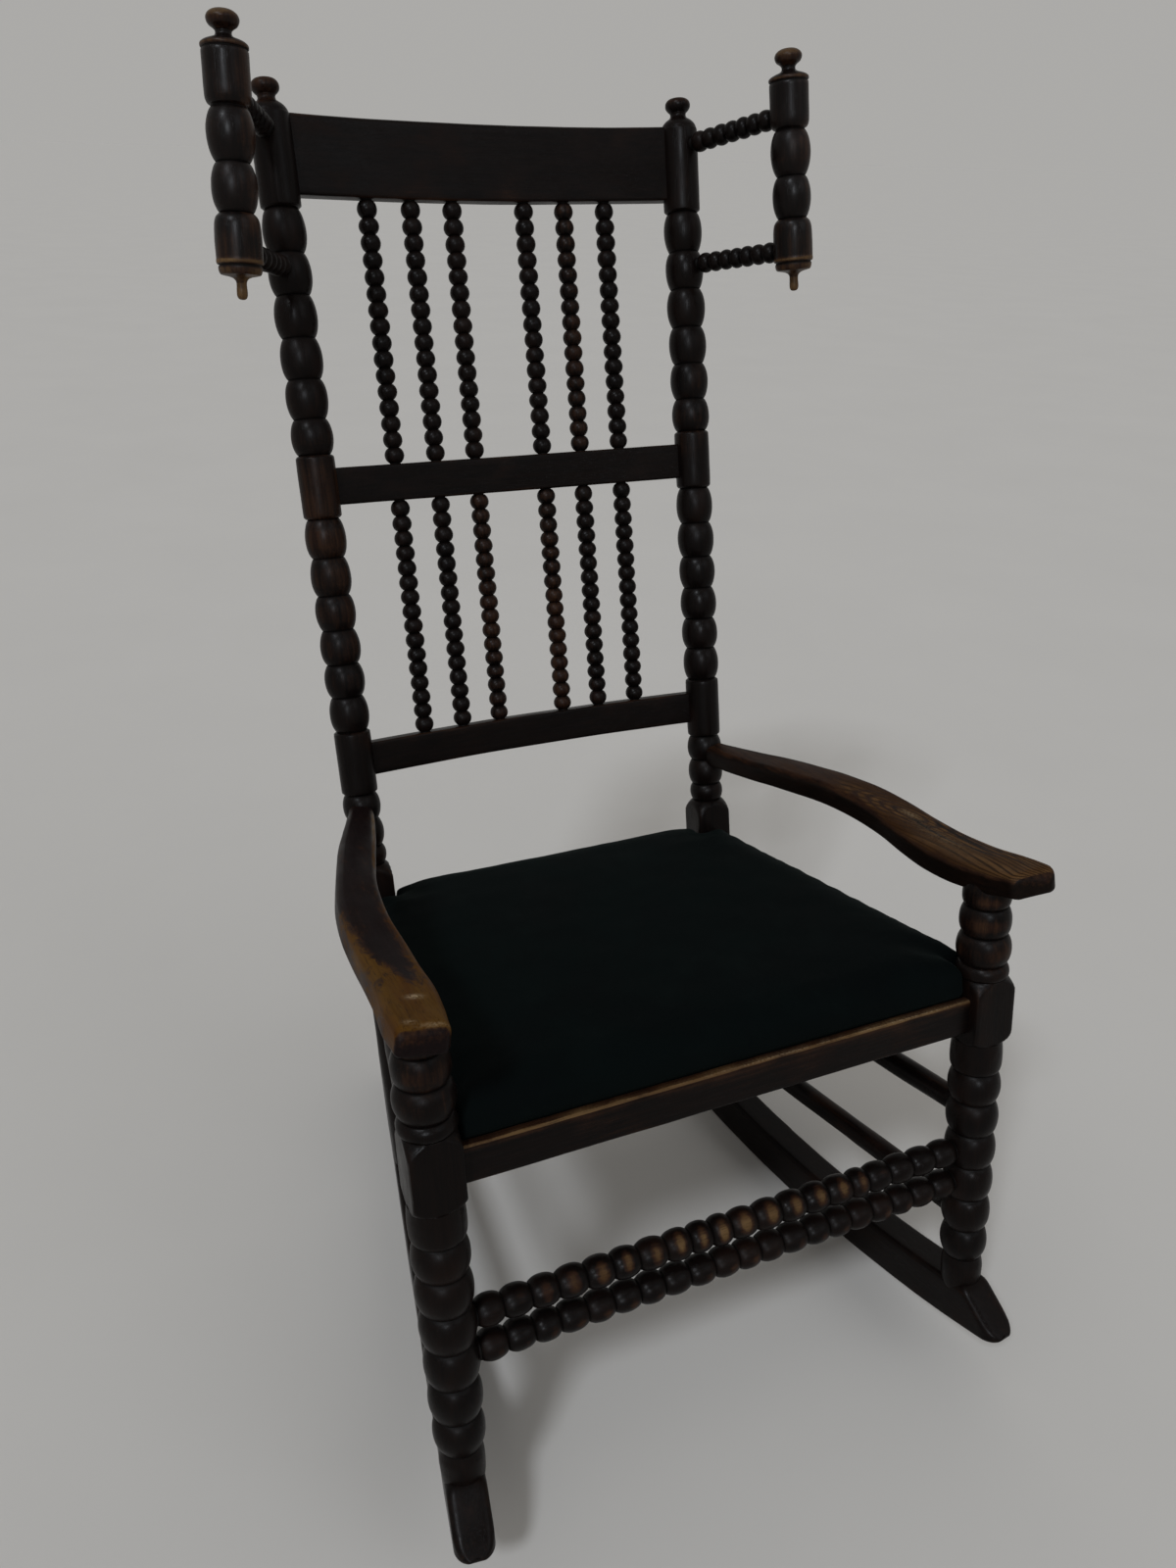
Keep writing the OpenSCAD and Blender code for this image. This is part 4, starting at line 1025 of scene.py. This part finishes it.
def rail(name, node, M, length0, length1, out, seed, mirror=False, bare_lip=0.55, pale=0.0):
    """A rebated rail. Its section's first axis runs inward from the outer face; out is where that face lies."""
    sec = round_poly([(0, -RAIL_H), (0, 0), (LIP, 0), (LIP, -REB), (RAIL_T, -REB), (RAIL_T, -RAIL_H)], [2.0, 2.2, 1.2, 0.8, 1.2, 2.0], 4)
    sec = refine(sec, 3.0)
    n = 120
    rows = [[(length0 + (length1 - length0) * k / n, out[0] + out[1] * u, v) for u, v in sec] for k in range(n + 1)]
    V, F = loft(rows)
    u, v = np.tile(sec[:, 0], n + 1), np.tile(sec[:, 1], n + 1)
    lip = (v > -1.6) * (u < LIP + 0.5)
    V[:, 2] += 0.25 * wob(V, 120, seed) - lip * 0.35 * np.clip(wob(V, 26, seed + 4), 0, 1)
    V[:, 1] += 0.25 * wob(V, 100, seed + 1)
    gco = np.stack([V[:, 1], V[:, 2], V[:, 0]], -1) / 1000 + np.array([hash01(seed, 1), hash01(seed, 2), 0])
    C = app(M, V)
    arris = gauss(u, 0.6, 1.8) * gauss(v, -0.4, 2.4)
    mid = 0.75 + 0.25 * np.cos(np.pi * (V[:, 0] - (length0 + length1) / 2) / (length1 - length0))
    w = 0.09 + (0.13 if pale else 0) + bare_lip * mid * (0.42 * lip + 0.40 * arris + 0.20 * gauss(v, -4, 6) * (u < 2)) * (1 + 0.35 * wob(V, 40, seed + 9)) + 0.08 * wob(V, 60, seed) + 0.08 * gauss(v, -RAIL_H, 3) * (u < 3)
    along = np.clip((V[:, 0] + 90) / 150, 0, 1) * 0.75 + 0.2
    chip = pale * along * gauss(u, 1.3, 0.8) * gauss(v, 0.1, 0.8) * np.clip(0.75 + 0.9 * wob(V, 33, seed + 11), 0, 1)
    if mirror:
        C = C * np.array([-1, 1, 1])
    return piece(name, node, C, F, OAK, "dark_stained_oak", gco=gco, wear=w, groove=0.0, tone=0.3 + 0.2 * wob(V, 150, seed), chip=chip)


RAIL_A = math.degrees(math.atan((LEG_X - px(70)) / py(70)))
SIDE_LEN = math.hypot(LEG_X - px(70), py(70))
REAR_Y = py(78)
rail("seat_rail_front", "front_seat_rail", SEAT, -LEG_X + 8, LEG_X - 8, (-12, 1), 161, bare_lip=0.72, pale=0.50)
rail("seat_rail_rear", "rear_seat_rail", SEAT, -px(78) + 6, px(78) - 6, (REAR_Y + 11, -1), 162, bare_lip=0.2)
for side, word in ((-1, "left"), (1, "right")):
    rail("seat_rail_side_" + word, "side_seat_rail_" + word, SEAT @ tr(LEG_X, 0, 0) @ rz(90 + RAIL_A), 12, SIDE_LEN - 10, (-11, 1), 163 + side,
         mirror=side < 0, bare_lip=0.30)

# ---------------------------------------------------------------- the pad
CROWN, RUN = 33.0, 0.5
EDGE_H = 30.0
BASE = -REB + 0.4
FY, BY = -12 + LIP + RUN, REAR_Y + RAIL_T / 2 - LIP - RUN
TAN, COS = math.tan(math.radians(RAIL_A)), math.cos(math.radians(RAIL_A))


def edge_x(y, i):
    return LEG_X - y * TAN + (RAIL_T / 2 - LIP - RUN - i) / COS


def pad_outline(i):
    """The pad's plan, drawn in by i: notched round the front legs' blocks and the back posts' blocks."""
    nfx, nfy = LEG_X - LEG_B - 0.5, LEG_B + 2.6
    nbx, nby = px(78) - POST_B - 0.1, REAR_Y - POST_B - 0.9
    h = [(0, FY + i), (nfx - i, FY + i), (nfx - i, nfy + i), (edge_x(nfy + i, i), nfy + i), (edge_x(nby - i, i), nby - i), (nbx - i, nby - i),
         (nbx - i, BY - i), (0, BY - i)]
    return h + [(-x, y) for x, y in reversed(h[1:-1])]


# the sides of that plan which lie against the rails, where the cloth may swell over the lip
AT_RAIL = [True, False, False, True, False, False, True, True, False, False, True, False, False, True]
OUTLINE = np.array(pad_outline(0.3))


def to_outline(P):
    """Distance in plan to the pad's outline, its nearest side and that side's outward direction."""
    best = np.full(len(P), 1e9)
    side = np.zeros(len(P), int)
    out = np.zeros((len(P), 2))
    for k in range(len(OUTLINE)):
        a, b = OUTLINE[k], OUTLINE[(k + 1) % len(OUTLINE)]
        d = b - a
        L = np.linalg.norm(d)
        d = d / L
        t = np.clip((P[:, :2] - a) @ d, 0, L)
        q = a + t[:, None] * d
        r = np.linalg.norm(P[:, :2] - q, axis=1)
        m = r < best
        best[m], side[m], out[m] = r[m], k, np.array([d[1], -d[0]])
    return best, side, out


def build_pad():
    loop = round_poly(pad_outline(0.5), [0, 1.5, 2, 2, 4, 2, 2, 0, 2, 2, 4, 2, 2, 1.5], 4)
    loop = refine(np.array(loop), 6.0)
    me = bpy.data.meshes.new("pad_raw")
    bm = bmesh.new()
    lo = [bm.verts.new(world(app(SEAT, np.array([[x, y, BASE + 2.5]])))[0]) for x, y in loop]
    bm.faces.new(lo)
    ext = bmesh.ops.extrude_face_region(bm, geom=list(bm.faces))
    up = [v for v in ext["geom"] if isinstance(v, bmesh.types.BMVert)]
    nrm = CHAIR.to_3x3() @ Vector(SEAT[:3, 2])
    for v in up:
        v.co += nrm * ((EDGE_H - BASE - 2.5) / 1000)
    bmesh.ops.recalc_face_normals(bm, faces=bm.faces)
    bm.to_mesh(me)
    bm.free()
    ob = bpy.data.objects.new("seat_pad", me)
    sc.collection.objects.link(ob)
    m = ob.modifiers.new("r", "REMESH")
    m.mode = "VOXEL"
    m.voxel_size = 0.0045
    bpy.context.view_layer.update()
    dg = bpy.context.evaluated_depsgraph_get()
    new = bpy.data.meshes.new_from_object(ob.evaluated_get(dg))
    ob.modifiers.clear()
    ob.data = new
    return ob


def seat_local(ob):
    co = np.zeros(len(ob.data.vertices) * 3)
    ob.data.vertices.foreach_get("co", co)
    inv = np.linalg.inv(CH)
    P = (co.reshape(-1, 3) @ inv[:3, :3].T + inv[:3, 3]) * 1000
    return app(np.linalg.inv(SEAT), P)


def set_local(ob, P):
    ob.data.vertices.foreach_set("co", world(app(SEAT, P)).ravel())
    ob.data.update()


pad = build_pad()
P = seat_local(pad)
dist, side_no, outward = to_outline(P)
# the stuffing: firm and rounded along every edge and notch, nearly level over the middle
q = 1 - np.clip(dist / 15, 0, 1)
rise = 25 + 8.5 * np.sqrt(np.clip(1 - q * q, 0, 1))
t = np.clip(P[:, 2] / EDGE_H, 0, 1)
P[:, 2] = np.where(P[:, 2] > 0, t * rise, P[:, 2])
base = P.copy()
# above the rails it swells out over their lips: furthest in front, where it hides all of the lip but its outer arris
for k, reach in ((13, 9.0), (0, 9.0), (3, 5.0), (10, 5.0), (6, 4.0), (7, 4.0)):
    a, b = OUTLINE[k], OUTLINE[(k + 1) % len(OUTLINE)]
    d = (b - a) / np.linalg.norm(b - a)
    nrm = np.array([d[1], -d[0]])
    f = np.clip((base[:, :2] - a) @ d, 0, np.linalg.norm(b - a))
    off = np.linalg.norm(base[:, :2] - a - f[:, None] * d, axis=1)
    z = base[:, 2]
    up = np.clip((z - 0.6) / 2.6, 0, 1) * (1 - 0.62 * np.clip((z - 10) / 20, 0, 1) ** 1.6)
    fall = np.clip(1 - off / 17, 0, 1) ** 1.4
    if k in (13, 0):  # one straight side in two halves, met at the middle
        fall = np.where((base[:, 0] < 0) == (k == 13), fall, 0)
    if k in (6, 7):
        fall = np.where((base[:, 0] > 0) == (k == 6), fall, 0)
    P[:, :2] += (reach * up * fall)[:, None] * nrm
# it falls away a little into its two back corners
for sx in (-1, 1):
    r = np.hypot(base[:, 0] - sx * 184, base[:, 1] - BY)
    P[:, 2] -= 4.5 * np.clip(1 - r / 42, 0, 1) ** 1.5 * np.clip((P[:, 2] - 8) / 12, 0, 1)
set_local(pad, P)
start = P.copy()
grp = pad.vertex_groups.new(name="held")
for i, p in enumerate(start):
    if p[2] < -0.8:
        grp.add([i], 1.0, "REPLACE")
cl = pad.modifiers.new("cloth", "CLOTH")
st = cl.settings
st.use_pressure = True
st.uniform_pressure_force = 4.0
st.quality = 6
st.mass = 0.3
st.tension_stiffness = st.compression_stiffness = 18
st.shear_stiffness = 10
st.bending_stiffness = 1.2
st.vertex_group_mass = "held"
st.effector_weights.gravity = 0
cl.collision_settings.use_self_collision = False
for f in range(1, 21):
    sc.frame_set(f)
dg = bpy.context.evaluated_depsgraph_get()
new = bpy.data.meshes.new_from_object(pad.evaluated_get(dg))
pad.modifiers.clear()
pad.data = new
sc.frame_set(1)
P = seat_local(pad)
d = P - start
L = np.linalg.norm(d, axis=1)
P = start + d * np.minimum(1, 3.2 / np.maximum(L, 1e-9))[:, None]
# it never presses sideways into the wood below the lip or into the blocks, and rests on the lip's top
dist0, side0, out0 = to_outline(base)
shift = ((P - base)[:, :2] * out0).sum(1)
reach = np.array([9.1, 0, 0, 6.0, 0, 0, 5.0, 5.0, 0, 0, 6.0, 0, 0, 9.1])[side0]
room = np.where(base[:, 2] > 0.6, reach, 0.0)
near = dist0 < 14
over = np.clip(shift - room - dist0 + 0.2, 0, None) * near
P[:, :2] -= over[:, None] * out0
# its side stays stretched over the wooden frame, so it can't draw in below the frame's top
back = np.clip(-shift - 0.1 - 6.0 * np.clip((base[:, 2] - 5) / 6, 0, 1), 0, None) * (dist0 < 3)
P[:, :2] += back[:, None] * out0
side_wall = dist0 < 3
P[:, 2] = np.where(side_wall & (base[:, 2] < 5), np.maximum(P[:, 2], base[:, 2] - 0.3), P[:, 2])
P[:, 2] = np.where(side_wall & (base[:, 2] > 0.6), np.maximum(P[:, 2], 0.9), P[:, 2])
P[:, 2] = np.where(side_wall & (base[:, 2] <= 0.6), np.minimum(P[:, 2], 0.5), P[:, 2])
# the collar and the beads of each front leg press into it
for sx in (-1, 1):
    v = P[:, :2] - np.array([sx * LEG_X, 0.0])
    r = np.linalg.norm(v, axis=1)
    push = np.clip(25.2 - r, 0, 6) * np.clip((P[:, 2] - 11) / 5, 0, 1)
    P[:, :2] += v / np.maximum(r, 1)[:, None] * push[:, None]
xw = np.clip(np.abs(P[:, 0]) / np.array([edge_x(y, 0) for y in P[:, 1]]), 0, 1)
yw = np.clip((P[:, 1] - FY) / (BY - FY), 0, 1)
lift = (1 - xw ** 2.4) * (1 - np.abs(2 * yw - 1) ** 2.6)
top = np.clip((P[:, 2] - 16) / 8, 0, 1)
P[:, 2] += top * (4.0 * lift - 1.8 * np.exp(-((P[:, 0] / 120) ** 2 + ((P[:, 1] - 215) / 95) ** 2)))
ends = np.array([e.vertices[:] for e in pad.data.edges])
soft = (top > 0.9) & (dist0 > 9)
count = np.zeros(len(P))
np.add.at(count, ends.ravel(), 1)


def average(Q):
    acc = np.zeros_like(Q)
    np.add.at(acc, ends[:, 0], Q[ends[:, 1]])
    np.add.at(acc, ends[:, 1], Q[ends[:, 0]])
    return acc / np.maximum(count, 1)[:, None]


for _ in range(14):
    P[soft, 2] = 0.5 * P[soft, 2] + 0.5 * average(P)[soft, 2]
# evens out the rim without drawing it in
rim = np.clip((base[:, 2] - 7) / 6, 0, 1)[:, None]
for _ in range(16):
    for step in (0.5, -0.515):
        P += step * rim * (average(P) - P)
# small pulls in the cloth, strongest by the edges
edge = np.clip(1 - lift * 1.7, 0, 1)
P[:, 2] += top * (0.35 * wob(P, 75, 7) + 0.30 * edge * wob(P * np.array([1, 1, 0.2]), 30, 8))
P[:, 2] = np.minimum(P[:, 2], CROWN + 9.0)
set_local(pad, P)
sub = pad.modifiers.new("fine", "SUBSURF")
sub.levels = sub.render_levels = 1
pad.data.shade_smooth()
pad.data.materials.clear()
pad.data.materials.append(VELVET)
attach(pad, "drop_in_seat")
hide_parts("velvet_cover", "seat_padding")

# ---------------------------------------------------------------- the CAD pieces that stay
for n in ("pad_frame_front", "pad_frame_rear", "pad_frame_left", "pad_frame_right"):
    o = frame["nodes"][n]
    o.data.materials.clear()
    o.data.materials.append(RAW)
o = frame["nodes"]["seat_webbing"]
o.data.materials.clear()
o.data.materials.append(JUTE)

# ---------------------------------------------------------------- floor and light
WARM = (1.0, 0.985, 0.955)
COOL = (0.93, 0.985, 1.06)
SKY = 0.41
SUNS = (("key", -52, 50, 1.05, 9), ("fill", 38, 35, 0.22, 30))
# the floor's paleness is the one at which it blends into the room behind without a line
down = sum(n[3] * math.sin(math.radians(n[2])) for n in SUNS) / math.pi
pale = [SKY * w / (SKY * w + down * c) for w, c in zip(WARM, COOL)]
fm = Tree("floor_pale")
tc = fm.node("ShaderNodeTexCoord").outputs["Object"]
fn = fm.noise(tc, 2.2, 4, 0.6)
fm.put(fm.b.inputs["Base Color"], fm.mix(fn, [0.97 * c for c in pale], [1.03 * c for c in pale]))
fm.put(fm.b.inputs["Roughness"], fm.ramp(fn, 0.3, 0.7, 0.6, 0.75))
fm.b.inputs["Specular IOR Level"].default_value = 0.0
bpy.ops.mesh.primitive_plane_add(size=400, location=(0, 0, 0))
floor = bpy.context.object
floor.name = "floor"
floor.data.materials.append(fm.mat)

w = bpy.data.worlds.new("room")
sc.world = w
w.use_nodes = True
bg = w.node_tree.nodes["Background"]
bg.inputs["Color"].default_value = (*WARM, 1)
bg.inputs["Strength"].default_value = SKY


def sun(name, azimuth, height, strength, angle):
    """A soft far light: azimuth is turned from the front (-Y) towards +X, height is above the floor, both in degrees."""
    d = bpy.data.lights.new(name, "SUN")
    d.energy = strength
    d.angle = math.radians(angle)
    d.color = COOL
    o = bpy.data.objects.new(name, d)
    sc.collection.objects.link(o)
    az, el = math.radians(azimuth), math.radians(height)
    v = Vector((math.sin(az) * math.cos(el), -math.cos(az) * math.cos(el), math.sin(el)))
    o.location = v * 4
    o.rotation_euler = (-v).to_track_quat("-Z", "Y").to_euler()
    return o


for lamp in SUNS:
    sun(*lamp)
# a window behind the viewer, seen only as a sheen on the turned wood
glint = sun("window", -22, 26, 0.85, 12)
glint.visible_diffuse = False

sc.view_settings.view_transform = "Standard"
sc.view_settings.look = "None"
